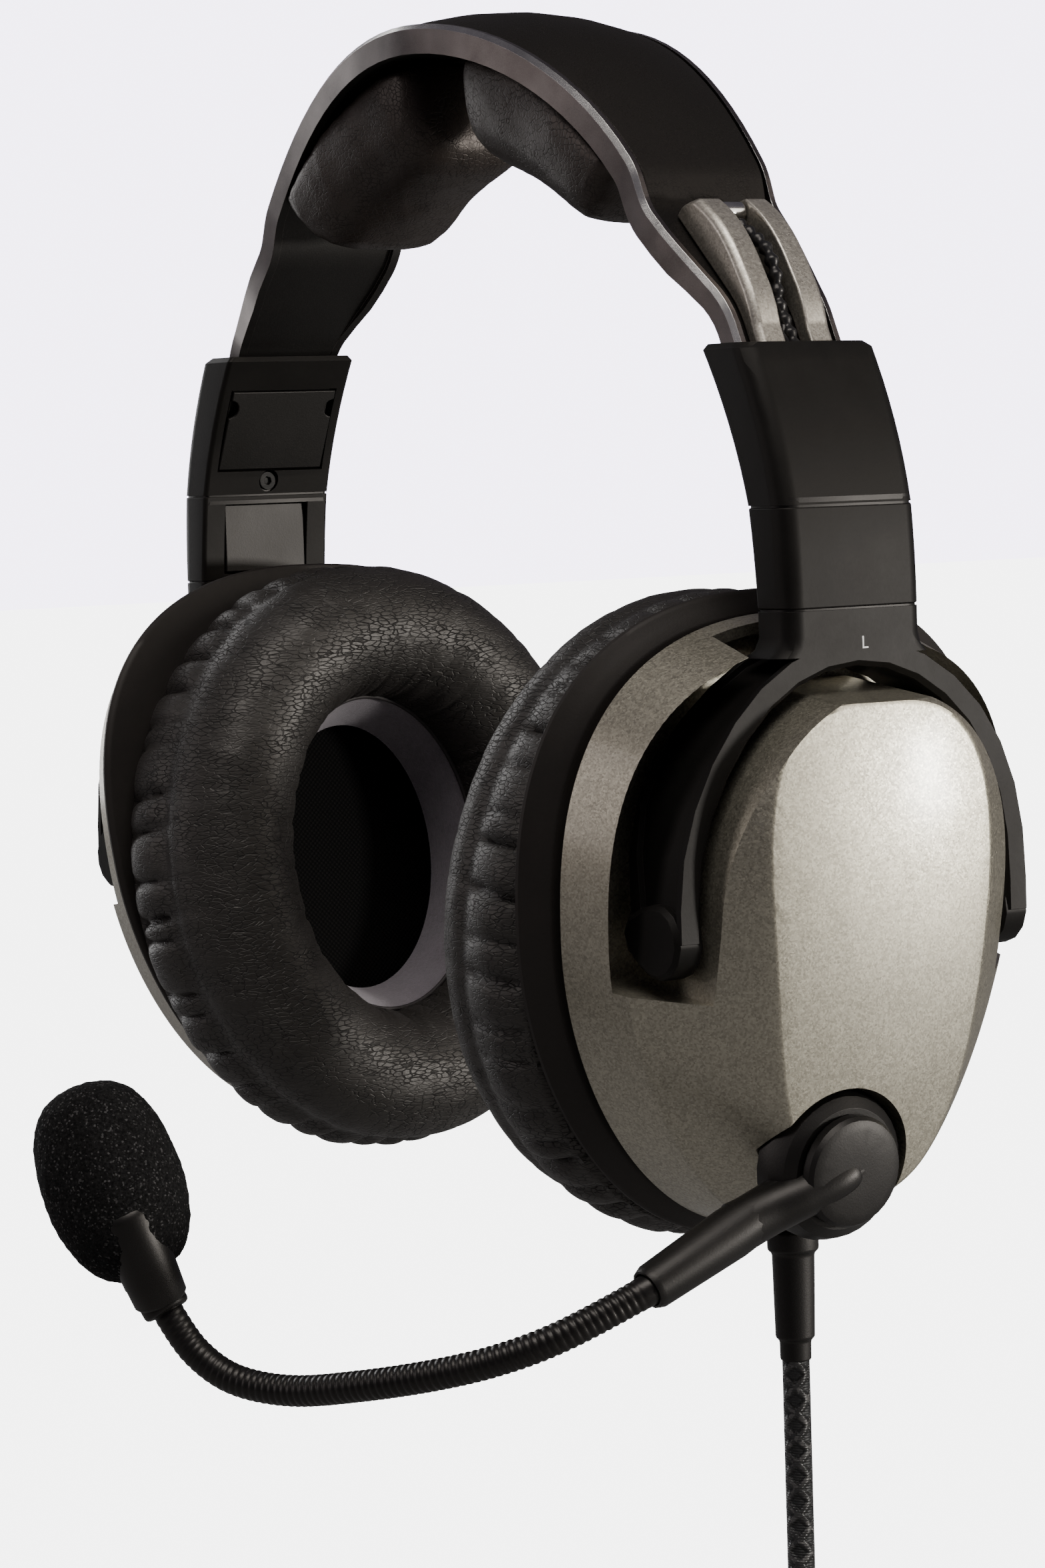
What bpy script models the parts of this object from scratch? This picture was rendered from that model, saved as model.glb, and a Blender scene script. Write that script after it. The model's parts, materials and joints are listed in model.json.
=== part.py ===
"""Over-ear aviation headset with a flexible boom microphone, held up by its headband.

World frame, metres: +X is the wearer's left, -Y the wearer's front, +Z up.
The origin is the underside of the headband at the crown.
Design values below are in millimetres; MM turns them into metres when a mesh is made.
"""
import math

import bpy
import bmesh
import numpy as np
from mathutils import Vector

MM = 0.001
GAP = 0.3                      # clearance between touching pieces
OBJECT_NAME = "aviation_headset"

# ------------------------------------------------------------------ driving dimensions (mm)
CROWN_RADIUS = 66.7            # inner radius of the headband arch
ARCH_DEGREES = 50.0            # half angle of the round part of the arch
BAND_WIDTH_CROWN = 39.0
BAND_WIDTH_KINK = 26.4
BAND_WIDTH_END = 20.4
BAND_FLOOR = 1.5               # thickness of the frame between its rims
BAND_RIM = 3.9                 # height of the rims over the inner surface
RIM_WIDTH = 1.6
SKIRT = 0.9                    # rims stand this far below the floor
COVER_CROWN = 2.6              # how far the cover domes above the rims
SHOULDER_TURN = 18.0
SHOULDER_RUN = 3.0
FLARE_ANGLE = 44.0             # band direction below the kink, degrees under level
FLARE_RUN = 17.7
SLIDE_ANGLE = 65.0             # direction the sleeves slide in, degrees under level
TAIL_RUN = 17.5                # band hidden in the sleeve

FORK_WIDTH = 14.4
SLOT_WIDTH = 4.8
PAD_THICKNESS = 18.0
PAD_WIDTH = 31.0

STEM_WIDTH = 26.1
STEM_THICK_TOP = 10.8
STEM_THICK_SEAM = 8.9
STEM_THICK_LOW = 8.0
STEM_TOP_Z = -47.5
SEAM_ONE_Z = -72.2
SEAM_TWO_Z = -87.7
STEM_X_TOP = 80.0
STEM_X_SEAM = 89.0
STEM_X_LOW = 89.8
EXTEND_LEFT = 3.5              # how far each sleeve is pulled out along its slide
EXTEND_RIGHT = 0.0

PIVOT_X = 82.0
PIVOT_Z = -135.9
CUP_TILT = 7.5                 # bottoms of the cups lean inward
YOKE_HALF_Y = 33.2             # outer face of the yoke arms
YOKE_RISE = 38.5
YOKE_CENTRE = 5.0              # centre of the arch above the pivot
YOKE_THICK = 4.0
YOKE_BREADTH = 12.8

CUSHION_HALF_Y = 44.4
CUSHION_HALF_Z = 51.4
CUSHION_CENTRE = -4.5
EAR_HALF_Y = 19.5
EAR_HALF_Z = 27.0
CUSHION_FACE = -49.8
CHASSIS_BACK = -21.3
SHELL_RIM = -15.0
SHELL_CREASE = -2.0
SHELL_TOP = 15.5
SHELL_WALL = 2.4
SHELL_CENTRE = -2.5

HUB_Y = -7.0
HUB_Z = -34.0
HUB_BASE_R = 12.0
HUB_CAP_R = 8.6
GOOSE_R = 2.4

CABLE_R = 2.15
COIL_R = 27.0
COIL_BUNDLE = 7.0
CABLE_DROP = 62.0              # straight cable between the boot and the coil


# ------------------------------------------------------------------ helpers
def clear_scene():
    """Remove every object that the start-up file holds."""
    for item in list(bpy.data.objects):
        bpy.data.objects.remove(item, do_unlink=True)


def collection(name):
    """Make a collection under the scene."""
    made = bpy.data.collections.new(name)
    bpy.context.scene.collection.children.link(made)
    return made


def material(name, colour, roughness, metallic=0.0):
    """Make a Principled material with a plain finish."""
    made = bpy.data.materials.new(name)
    made.use_nodes = True
    shader = made.node_tree.nodes["Principled BSDF"]
    shader.inputs["Base Color"].default_value = (*colour, 1.0)
    shader.inputs["Roughness"].default_value = roughness
    shader.inputs["Metallic"].default_value = metallic
    made.diffuse_color = (*colour, 1.0)
    return made


def tidy_mesh(mesh, sharp=math.radians(32.0)):
    """Point faces outward, shade smooth and keep corners above an angle crisp."""
    work = bmesh.new()
    work.from_mesh(mesh)
    bmesh.ops.recalc_face_normals(work, faces=work.faces)
    work.to_mesh(mesh)
    work.free()
    for face in mesh.polygons:
        face.use_smooth = True
    mesh.set_sharp_from_angle(angle=sharp)


def add_mesh(name, points, faces, mat, where):
    """Make an object from points in millimetres."""
    mesh = bpy.data.meshes.new(name)
    mesh.from_pydata([Vector(p) * MM for p in points], [], faces)
    tidy_mesh(mesh)
    if mat is not None:
        mesh.materials.append(mat)
    made = bpy.data.objects.new(name, mesh)
    where.objects.link(made)
    return made


def loft(name, rings, mat, where, wrap=False):
    """Skin equal rings of points; capped at both ends unless it wraps round."""
    count = len(rings[0])
    points = [p for ring in rings for p in ring]
    faces = []
    last = len(rings) if wrap else len(rings) - 1
    for i in range(last):
        a = i * count
        b = ((i + 1) % len(rings)) * count
        for j in range(count):
            k = (j + 1) % count
            faces.append((a + j, a + k, b + k, b + j))
    if not wrap:
        faces.append(tuple(range(count)))
        faces.append(tuple(range((len(rings) - 1) * count, len(rings) * count)))
    return add_mesh(name, points, faces, mat, where)


def cylinder(name, start, end, radius, mat, where, radius_end=None, sides=24):
    """A rod or a cone between two points."""
    start = Vector(start)
    end = Vector(end)
    axis = (end - start).normalized()
    side = axis.orthogonal().normalized()
    other = axis.cross(side)
    rings = []
    for centre, r in ((start, radius), (end, radius_end or radius)):
        rings.append([centre + (side * math.cos(t) + other * math.sin(t)) * r
                      for t in np.linspace(0, 2 * math.pi, sides, endpoint=False)])
    return loft(name, rings, mat, where)


def turned(name, origin, axis, profile, mat, where, sides=24):
    """Turn a closed (radius, height) profile about an axis; radius 0 is a pole."""
    origin = Vector(origin)
    axis = Vector(axis).normalized()
    side = axis.orthogonal().normalized()
    other = axis.cross(side)
    rings = []
    for r, h in profile:
        rings.append([origin + axis * h + (side * math.cos(t) + other * math.sin(t)) * r
                      for t in np.linspace(0, 2 * math.pi, sides, endpoint=False)])
    return loft(name, rings, mat, where)


def ring_turned(name, origin, axis, profile, mat, where, sides=48):
    """Turn a closed loop of (radius, height) that does not meet the axis."""
    origin = Vector(origin)
    axis = Vector(axis).normalized()
    side = axis.orthogonal().normalized()
    other = axis.cross(side)
    rings = []
    for t in np.linspace(0, 2 * math.pi, sides, endpoint=False):
        spoke = side * math.cos(t) + other * math.sin(t)
        rings.append([origin + spoke * r + axis * h for r, h in profile])
    return loft(name, rings, mat, where, wrap=True)


def tube(name, path, radii, mat, where, sides=12):
    """A round tube along points, with the frame carried along it."""
    path = [Vector(p) for p in path]
    tangents = []
    for i in range(len(path)):
        a = path[max(i - 1, 0)]
        b = path[min(i + 1, len(path) - 1)]
        tangents.append((b - a).normalized())
    side = tangents[0].orthogonal().normalized()
    rings = []
    for i, centre in enumerate(path):
        side = (side - tangents[i] * side.dot(tangents[i])).normalized()
        other = tangents[i].cross(side)
        r = radii[i] if isinstance(radii, (list, tuple)) else radii
        rings.append([centre + (side * math.cos(t) + other * math.sin(t)) * r
                      for t in np.linspace(0, 2 * math.pi, sides, endpoint=False)])
    return loft(name, rings, mat, where)


def smooth_path(points, steps):
    """Catmull-Rom points through a few control points."""
    pts = [Vector(p) for p in points]
    pts = [pts[0] * 2 - pts[1]] + pts + [pts[-1] * 2 - pts[-2]]
    out = []
    for i in range(1, len(pts) - 2):
        a, b, c, d = pts[i - 1], pts[i], pts[i + 1], pts[i + 2]
        for k in range(steps):
            t = k / steps
            out.append(0.5 * ((2 * b) + (c - a) * t + (2 * a - 5 * b + 4 * c - d) * t * t
                              + (3 * b - a - 3 * c + d) * t ** 3))
    out.append(pts[-2])
    return out


def box(name, low, high, mat, where, place=None):
    """A box from two corners, optionally carried by a placing function."""
    corners = []
    for z in (low[2], high[2]):
        corners.append([(low[0], low[1], z), (high[0], low[1], z),
                        (high[0], high[1], z), (low[0], high[1], z)])
    if place is not None:
        corners = [[place(*c) for c in ring] for ring in corners]
    return loft(name, corners, mat, where)


def cut(target, tool, kind="DIFFERENCE"):
    """Boolean one mesh with another; the tool is hidden in the cutter collection."""
    tool.hide_render = True
    tool.display_type = "WIRE"
    step = target.modifiers.new(kind.lower() + "_" + tool.name[:20], "BOOLEAN")
    step.operation = kind
    step.solver = "EXACT"
    step.object = tool
    return target


def rounded_rect(x0, x1, y0, y1, radii, steps=3):
    """Corner points of a rectangle; radii are for (x1,y1), (x0,y1), (x0,y0), (x1,y0)."""
    centres = ((x1, y1, 0), (x0, y1, 90), (x0, y0, 180), (x1, y0, 270))
    out = []
    for (cx, cy, start), r in zip(centres, radii):
        sx = 1 if cx == x1 else -1
        sy = 1 if cy == y1 else -1
        for k in range(steps + 1):
            a = math.radians(start + 90.0 * k / steps)
            out.append((cx - sx * r + r * math.cos(a), cy - sy * r + r * math.sin(a)))
    return out


# ------------------------------------------------------------------ headband line
def band_line():
    """Stations (distance, x, z, heading) of the band's inner surface, right of centre."""
    arch = CROWN_RADIUS * math.radians(ARCH_DEGREES)
    steep = ARCH_DEGREES + SHOULDER_TURN
    pieces = ((arch, ARCH_DEGREES, 15), (2.5, SHOULDER_TURN, 3), (SHOULDER_RUN, 0.0, 1),
              (5.0, FLARE_ANGLE - steep, 4), (FLARE_RUN, 0.0, 4),
              (5.0, SLIDE_ANGLE - FLARE_ANGLE, 3), (1.5 + TAIL_RUN, 0.0, 2))
    s, x, z, heading = 0.0, 0.0, 0.0, 0.0
    out = [(s, x, z, heading)]
    marks = []
    for length, turn, count in pieces:
        for _ in range(count):
            mid = math.radians(heading + 0.5 * turn / count)
            x += math.cos(mid) * length / count
            z -= math.sin(mid) * length / count
            s += length / count
            heading += turn / count
            out.append((s, x, z, heading))
        marks.append(s)
    return out, marks


LINE, MARKS = band_line()
S_KINK = MARKS[3]
S_FLARE_END = MARKS[4]
S_ENTRY = MARKS[5] + 1.5
S_END = MARKS[6]


def on_band(s, h, y, side=1):
    """World point at distance s along the band, h above its inner surface."""
    x = np.interp(s, [p[0] for p in LINE], [p[1] for p in LINE])
    z = np.interp(s, [p[0] for p in LINE], [p[2] for p in LINE])
    a = math.radians(np.interp(s, [p[0] for p in LINE], [p[3] for p in LINE]))
    return (side * (x + h * math.sin(a)), y, z + h * math.cos(a))


def ease(value, low, high):
    """Smooth step from 0 at low to 1 at high."""
    t = min(max((value - low) / (high - low), 0.0), 1.0)
    return t * t * (3 - 2 * t)


def band_half(s):
    """Half width of the band at distance s."""
    first = 0.5 * (BAND_WIDTH_CROWN - BAND_WIDTH_KINK) * (1 - ease(s, -6.0, S_KINK))
    second = 0.5 * (BAND_WIDTH_KINK - BAND_WIDTH_END) * (1 - ease(s, S_KINK, S_ENTRY))
    return first + second + 0.5 * BAND_WIDTH_END


def full_stations(limit):
    """Signed stations from one end of the band to the other, cut at a distance."""
    right = [p[0] for p in LINE if p[0] < limit - 0.4] + [limit]
    return [-s for s in reversed(right[1:])] + right


# ------------------------------------------------------------------ headband pieces
def build_headband(parts, cutters, mats):
    """Frame, cover, pads, slider forks, rollers and the wires in the slots."""
    rings = []
    for s in full_stations(S_END):
        side = 1 if s >= 0 else -1
        d = abs(s)
        hw = band_half(d)
        lip = RIM_WIDTH
        skirt = 0.06 + (SKIRT - 0.06) * (1 - ease(d, S_FLARE_END - 9, S_FLARE_END - 1))
        section = [(-hw, -skirt), (-hw + lip, -skirt), (-hw + lip, 0), (hw - lip, 0),
                   (hw - lip, -skirt), (hw, -skirt), (hw, BAND_RIM - 0.8),
                   (hw - 0.7, BAND_RIM), (hw - lip, BAND_RIM), (hw - lip, BAND_FLOOR),
                   (-hw + lip, BAND_FLOOR), (-hw + lip, BAND_RIM), (-hw + 0.7, BAND_RIM),
                   (-hw, BAND_RIM - 0.8)]
        rings.append([on_band(d, h, y, side) for y, h in section])
    loft("headband_frame", rings, mats["frame"], parts)

    rings = []
    for s in full_stations(S_ENTRY + 3.0):
        side = 1 if s >= 0 else -1
        d = abs(s)
        hw = band_half(d) - RIM_WIDTH - GAP
        low = BAND_FLOOR + GAP
        flat = ease(d, S_KINK - 9.0, S_KINK + 2.0)
        edge = 3.7 * (1 - flat) + 2.5 * flat
        dome = COVER_CROWN * (1 - ease(d, 22.0, S_KINK - 4.0))
        top = [(hw * f, edge + dome * (1 - f * f)) for f in (1, .8, .42, 0, -.42, -.8, -1)]
        section = [(-hw, low), (hw, low)] + top
        rings.append([on_band(d, h, y, side) for y, h in section])
    loft("headband_cover", rings, mats["cover"], parts)

    for side, tag in ((1, "left"), (-1, "right")):
        build_pad("head_pad_" + tag, side, parts, mats)
        build_fork(side, tag, parts, cutters, mats)


def build_pad(name, side, parts, mats):
    """One puffy pad under half of the arch."""
    start = CROWN_RADIUS * math.radians(5.5)
    end = CROWN_RADIUS * math.radians(49.0)
    rings = []
    for k in range(13):
        t = k / 12
        a = math.pi * t
        s = start + (end - start) * (0.5 - 0.5 * math.cos(a))
        bulge = (1 - abs(2 * t - 1) ** 3.2) ** 0.5 if 0 < t < 1 else 0.0
        lean = 1.0 - 0.10 * (2 * t - 1)
        depth = 2.2 + (PAD_THICKNESS - 2.2) * bulge * lean
        half = 5.5 + (0.5 * PAD_WIDTH - 5.5) * bulge ** 0.7
        top = -SKIRT - GAP
        ring = []
        for a in np.linspace(0, 2 * math.pi, 20, endpoint=False):
            c, q = math.cos(a), math.sin(a)
            y = half * math.copysign(abs(c) ** 0.62, c)
            if q >= 0:
                h = top - 0.12 * depth * (1 - abs(q) ** 0.5)
            else:
                h = top - 0.12 * depth - 0.88 * depth * abs(q) ** 0.75
            ring.append(on_band(s, h, y, side))
        rings.append(ring)
    loft(name, rings, mats["pad"], parts)


def fork_top(s):
    """Height of the fork's outer face over the band's inner surface."""
    run = (s - S_KINK + 0.5) / (S_ENTRY - S_KINK + 0.5)
    if run >= 1:
        return 5.6
    rise = 7.3 + 1.9 * math.sin(math.pi * min(max(run, 0), 1) ** 0.8)
    return rise * (1 - run ** 3) + 5.6 * run ** 3


def build_fork(side, tag, parts, cutters, mats):
    """Metal fork on the outside of the band end, its roller and its wire."""
    low = 2.5 + GAP
    half = 0.5 * FORK_WIDTH
    first = S_KINK - 0.5
    stations = [first + k * 2.0 for k in range(13)]
    stations = [s for s in stations if s < S_ENTRY - 0.6] + [S_ENTRY, S_ENTRY + 9.0, S_END]
    rings = []
    for i, s in enumerate(stations):
        top = fork_top(s)
        if i == 0:
            top = low + (top - low) * 0.62
        rings.append([on_band(s, h, y, side) for y, h in
                      ((-half, low), (half, low), (half, top - 0.9), (half - 0.9, top),
                       (-half + 0.9, top), (-half, top - 0.9))])
    fork = loft("slider_arm_" + tag, rings, mats["silver"], parts)
    w = 0.5 * SLOT_WIDTH
    slot = []
    for s in [first - 3.0] + stations[1:-3] + [S_ENTRY + 1.0, S_ENTRY + 10.0]:
        slot.append([on_band(s, h, y, side) for y, h in
                     ((-w, 1.0), (w, 1.0), (w, 14.0), (-w, 14.0))])
    cut(fork, loft("slot_cut_" + tag, slot, None, cutters))

    s = S_KINK + 2.3
    h = 5.9
    cylinder("arm_roller_" + tag, on_band(s, h, -w + 0.3, side), on_band(s, h, w - 0.3, side),
             1.7, mats["bright"], parts, sides=20)

    top_s = S_KINK + 6.5
    path = [(top_s + 1.9, 3.5, 0.0)]
    run_end = S_ENTRY + 8.0
    for k in range(1, 18):
        t = k / 17
        sway = 0.85 * math.sin(t * 5 * math.pi) * ease(t, 0.1, 0.35)
        path.append((top_s + 1.9 + (run_end - top_s - 1.9) * t, 3.62, sway))
    pts = [on_band(s, h, y, side) for s, h, y in path]
    tube("crossover_wire_" + tag, pts, 0.72, mats["wire"], parts, sides=8)


# ------------------------------------------------------------------ stem
def stem_x(z):
    """Outer face of the stem at height z."""
    if z > SEAM_ONE_Z:
        t = (STEM_TOP_Z - z) / (STEM_TOP_Z - SEAM_ONE_Z)
        fall = 0.5
        return STEM_X_TOP + (STEM_X_SEAM - STEM_X_TOP) * ((1 + fall) * t - fall * t * t)
    t = (SEAM_ONE_Z - z) / (SEAM_ONE_Z - SEAM_TWO_Z)
    return STEM_X_SEAM + (STEM_X_LOW - STEM_X_SEAM) * (2 * t - t * t)


def stem_thick(z):
    """Thickness of the stem across X at height z."""
    return float(np.interp(-z, (-STEM_TOP_Z, -SEAM_ONE_Z, -SEAM_TWO_Z),
                           (STEM_THICK_TOP, STEM_THICK_SEAM, STEM_THICK_LOW)))


def stem_ring(z, shift, side, inset=0.0, corner=3.0):
    """Rounded section of the stem at height z, moved by the slide."""
    x1 = stem_x(z) - inset
    x0 = stem_x(z) - stem_thick(z) + inset
    half = 0.5 * STEM_WIDTH - inset
    ring = rounded_rect(x0, x1, -half, half, (corner, 0.8, 0.8, corner))
    return [(side * (x + shift[0]), y, z + shift[2]) for x, y in ring]


def slide_shift(extend):
    """Move along the slide direction for a given extension (left side sign)."""
    a = math.radians(SLIDE_ANGLE)
    return (extend * math.cos(a), 0.0, -extend * math.sin(a))


def build_stem(side, tag, extend, parts, cutters, mats):
    """Sleeve shell, its inner plate and screw, and the block below with its cover."""
    shift = slide_shift(extend)

    entry = on_band(S_ENTRY, 0.0, 0.0)
    lean = math.radians(SLIDE_ANGLE)

    def local(s, h, y):
        x = entry[0] + (s - S_ENTRY) * math.cos(lean) + h * math.sin(lean)
        z = entry[2] - (s - S_ENTRY) * math.sin(lean) + h * math.cos(lean)
        return (side * (x + shift[0]), y, z + shift[2])

    def place(x, y, z):
        return (side * (x + shift[0]), y, z + shift[2])

    heights = np.linspace(STEM_TOP_Z, SEAM_ONE_Z + 0.15, 9)
    rings = [stem_ring(heights[0], shift, side, 0.8)]
    rings.append(stem_ring(heights[0] - 0.9, shift, side))
    rings += [stem_ring(z, shift, side) for z in heights[1:]]
    shell = loft("sleeve_shell_" + tag, rings, mats["stem"], parts)

    half = 0.5 * BAND_WIDTH_END + 0.45
    # tunnel the band end and the fork run in
    tunnel = [[local(s, h, y) for y, h in ((-half, -0.4), (half, -0.4), (half, 6.0), (-half, 6.0))]
              for s in (S_ENTRY - 9.0, S_END + 1.4)]
    cut(shell, loft("tunnel_" + tag, tunnel, None, cutters))
    # window for the inner plate
    reach = 0.5 * BAND_WIDTH_END + 0.8
    window = [[local(s, h, y) for y, h in ((-reach, -7.0), (reach, -7.0), (reach, -0.2),
                                           (-reach, -0.2))]
              for s in (S_ENTRY + 2.6, S_END + 0.9)]
    cut(shell, loft("window_" + tag, window, None, cutters))

    pw = reach - GAP
    s0, s1 = S_ENTRY + 2.6 + GAP, S_END + 0.9 - GAP
    plate = loft("sleeve_plate_" + tag,
                 [[local(s, h, y) for y, h in ((-pw, -1.45), (pw, -1.45), (pw, -0.7), (-pw, -0.7))]
                  for s in (s0, s1)], mats["plate"], parts)
    for sy, word in ((-1, "a"), (1, "b")):
        mid = s0 + 3.4
        notch = cylinder("notch_%s_%s" % (tag, word), local(mid, -4.0, sy * pw),
                         local(mid, 2.0, sy * pw), 1.7, None, cutters, sides=14)
        cut(plate, notch)

    z = SEAM_ONE_Z + 2.5
    x = stem_x(z) - stem_thick(z)
    hole = cylinder("screw_hole_" + tag, place(x - 3, 0, z), place(x + 1.6, 0, z), 2.0,
                    None, cutters, sides=16)
    cut(shell, hole)
    screw = cylinder("sleeve_screw_" + tag, place(x + 0.35, 0, z), place(x + 1.3, 0, z), 1.7,
                     mats["screw"], parts, sides=16)
    drive = cylinder("screw_drive_" + tag, place(x - 1, 0, z), place(x + 0.85, 0, z), 0.75,
                     None, cutters, sides=6)
    cut(screw, drive)

    heights = np.linspace(SEAM_ONE_Z - 0.15, SEAM_TWO_Z + 0.15, 5)
    block = loft("stem_block_" + tag, [stem_ring(z, shift, side) for z in heights],
                 mats["stem"], parts)
    z0, z1 = SEAM_TWO_Z + 1.4, SEAM_ONE_Z - 1.4
    zm = 0.5 * (z0 + z1)
    xin = stem_x(zm) - stem_thick(zm)
    pocket = box("cover_pocket_" + tag, (xin - 3, -8.6, z0), (xin + 1.5, 8.6, z1), None, cutters,
                 place)
    cut(block, pocket)
    box("stem_cover_" + tag, (xin + 0.25, -8.3, z0 + GAP), (xin + 1.2, 8.3, z1 - GAP),
        mats["plate"], parts, place)

    xa = STEM_X_LOW - 0.5 * STEM_THICK_LOW
    bore = cylinder("swivel_bore_" + tag, place(xa, 0, SEAM_TWO_Z - 2), place(xa, 0, SEAM_TWO_Z + 4),
                    2.3, None, cutters, sides=16)
    cut(block, bore)
    cylinder("swivel_pin_" + tag, place(xa, 0, SEAM_TWO_Z + 3.7), place(xa, 0, SEAM_TWO_Z - 3.6),
             2.0, mats["bright"], parts, sides=16)


# ------------------------------------------------------------------ yoke
def yoke_outline(angle, inset):
    """Point on the arch (y, height over the pivot) for an angle from the front arm."""
    y = -(YOKE_HALF_Y - inset) * math.cos(angle)
    z = YOKE_CENTRE + (YOKE_RISE - inset) * math.sin(angle)
    return y, z


def build_yoke(side, tag, extend, parts, cutters, mats):
    """Stirrup over the cup with its head block, end bosses and pivot pins."""
    shift = slide_shift(extend)

    def place(x, y, z):
        return (side * (x + shift[0]), y, z + shift[2])

    x1 = STEM_X_LOW
    x0 = x1 - YOKE_BREADTH
    rings = []
    angles = np.linspace(0.0, math.pi, 17)

    def section(y, z, iy, iz, taper):
        a = x0 + 0.9 * taper
        b = x1 - 1.6 * taper
        ty, tz = iy - y, iz - z
        pick = ((a, 0.0), (a + 1.2, 0.0), (a + 1.2, 0.26), (b - 1.2, 0.26), (b - 1.2, 0.0),
                (b, 0.0), (b, 0.8), (b - 0.8, 1.0), (a + 0.8, 1.0), (a, 0.8))
        return [place(x, y + ty * f, PIVOT_Z + z + tz * f) for x, f in pick]

    for z in (0.0, 2.5):
        rings.append(section(-YOKE_HALF_Y, z, -YOKE_HALF_Y + YOKE_THICK, z, 1.0))
    for a in angles:
        y, z = yoke_outline(a, 0.0)
        iy, iz = yoke_outline(a, YOKE_THICK)
        taper = 1 - ease(math.sin(a), 0.0, 0.75)
        rings.append(section(y, z, iy, iz, taper))
    for z in (2.5, 0.0):
        rings.append(section(YOKE_HALF_Y, z, YOKE_HALF_Y - YOKE_THICK, z, 1.0))
    yoke = loft("yoke_" + tag, rings, mats["yoke"], parts)

    # head block
    top = SEAM_TWO_Z - 0.15
    low = PIVOT_Z + YOKE_CENTRE + YOKE_RISE - 2.4
    head_rings = []
    for z, grow in ((top, 0.0), (low + 3.0, 0.0), (low + 1.2, 0.5), (low, 1.6)):
        xa1 = STEM_X_LOW
        xa0 = STEM_X_LOW - STEM_THICK_LOW
        half = 0.5 * STEM_WIDTH + grow
        ring = rounded_rect(xa0 - grow, xa1, -half, half, (3.0, 0.8, 0.8, 3.0))
        head_rings.append([place(x, y, z) for x, y in ring])
    head = loft("yoke_head_" + tag, head_rings, None, cutters)
    cut(yoke, head, "UNION")

    bx = PIVOT_X + 0.3
    for sy, word in ((-1, "front"), (1, "rear")):
        boss = turned("yoke_boss_%s_%s" % (tag, word), place(bx, sy * 28.9, PIVOT_Z),
                      (0, sy, 0), ((5.3, 0.0), (5.7, 0.4), (5.7, 4.3), (5.0, 5.0)),
                      None, cutters, sides=14)
        cut(yoke, boss, "UNION")
        hole = cylinder("pivot_hole_%s_%s" % (tag, word), place(bx, sy * 20, PIVOT_Z),
                        place(bx, sy * 32.3, PIVOT_Z), 2.3, None, cutters, sides=16)
        cut(yoke, hole)
        turned("pivot_pin_%s_%s" % (word, tag), place(bx, sy * 23.6, PIVOT_Z), (0, sy, 0),
               ((2.0, 0.0), (2.0, 8.4)), mats["bright"], parts, sides=16)

    xa = STEM_X_LOW - 0.5 * STEM_THICK_LOW
    bore = cylinder("yoke_bore_" + tag, place(xa, 0, SEAM_TWO_Z + 2), place(xa, 0, SEAM_TWO_Z - 3.9),
                    2.3, None, cutters, sides=16)
    cut(yoke, bore)
    xin = STEM_X_LOW - STEM_THICK_LOW
    z = SEAM_TWO_Z - 3.6
    hole = cylinder("yoke_screw_hole_" + tag, place(xin - 3, -7.5, z), place(xin + 1.5, -7.5, z),
                    1.9, None, cutters, sides=16)
    cut(yoke, hole)
    screw = cylinder("yoke_screw_" + tag, place(xin + 0.3, -7.5, z), place(xin + 1.2, -7.5, z),
                     1.6, mats["screw"], parts, sides=16)
    drive = cylinder("yoke_drive_" + tag, place(xin - 1, -7.5, z), place(xin + 0.8, -7.5, z), 0.7,
                     None, cutters, sides=6)
    cut(screw, drive)


# ------------------------------------------------------------------ ear cups
class CupFrame:
    """Cup coordinates: n outward, y rearward, z along the cup's own up."""

    def __init__(self, side, extend):
        shift = slide_shift(extend)
        a = math.radians(CUP_TILT)
        self.side = side
        self.origin = Vector((PIVOT_X + shift[0], 0.0, PIVOT_Z + shift[2]))
        self.out = Vector((math.cos(a), 0.0, -math.sin(a)))
        self.up = Vector((math.sin(a), 0.0, math.cos(a)))

    def at(self, n, y, z):
        """World point of a cup point."""
        p = self.origin + self.out * n + self.up * z
        return (self.side * p.x, y, p.z)

    def axis(self):
        """World direction of the cup's outward axis."""
        return Vector((self.side * self.out.x, 0.0, self.out.z))


def egg(half_y, half_z, count=40, centre=SHELL_CENTRE):
    """Egg outline, fuller at the top, as (y, z) points."""
    out = []
    for a in np.linspace(0, 2 * math.pi, count, endpoint=False):
        c, q = math.cos(a), math.sin(a)
        power = 2.4 if q > 0 else 2.0
        z = math.copysign(abs(q) ** (2 / power), q)
        y = math.copysign(abs(c) ** (2 / power), c)
        out.append((half_y * y * (1 + 0.12 * z), centre + half_z * z))
    return out


def face_outline(grow, count=40):
    """Outline of the flat-looking outer face of the shell."""
    out = []
    for a in np.linspace(0, 2 * math.pi, count, endpoint=False):
        c, q = math.cos(a), math.sin(a)
        z = math.copysign(abs(q) ** 0.72, q)
        y = math.copysign(abs(c) ** 0.62, c)
        out.append(((19.2 + grow) * y * (1 + 0.20 * z), -1.5 + (37.5 + grow) * z))
    return out


def dome(y, z, drop=0.0):
    """Height of the outer face of the shell."""
    return SHELL_TOP - drop - (z + 8.0) ** 2 / 400.0 - y * y / 330.0


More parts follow.
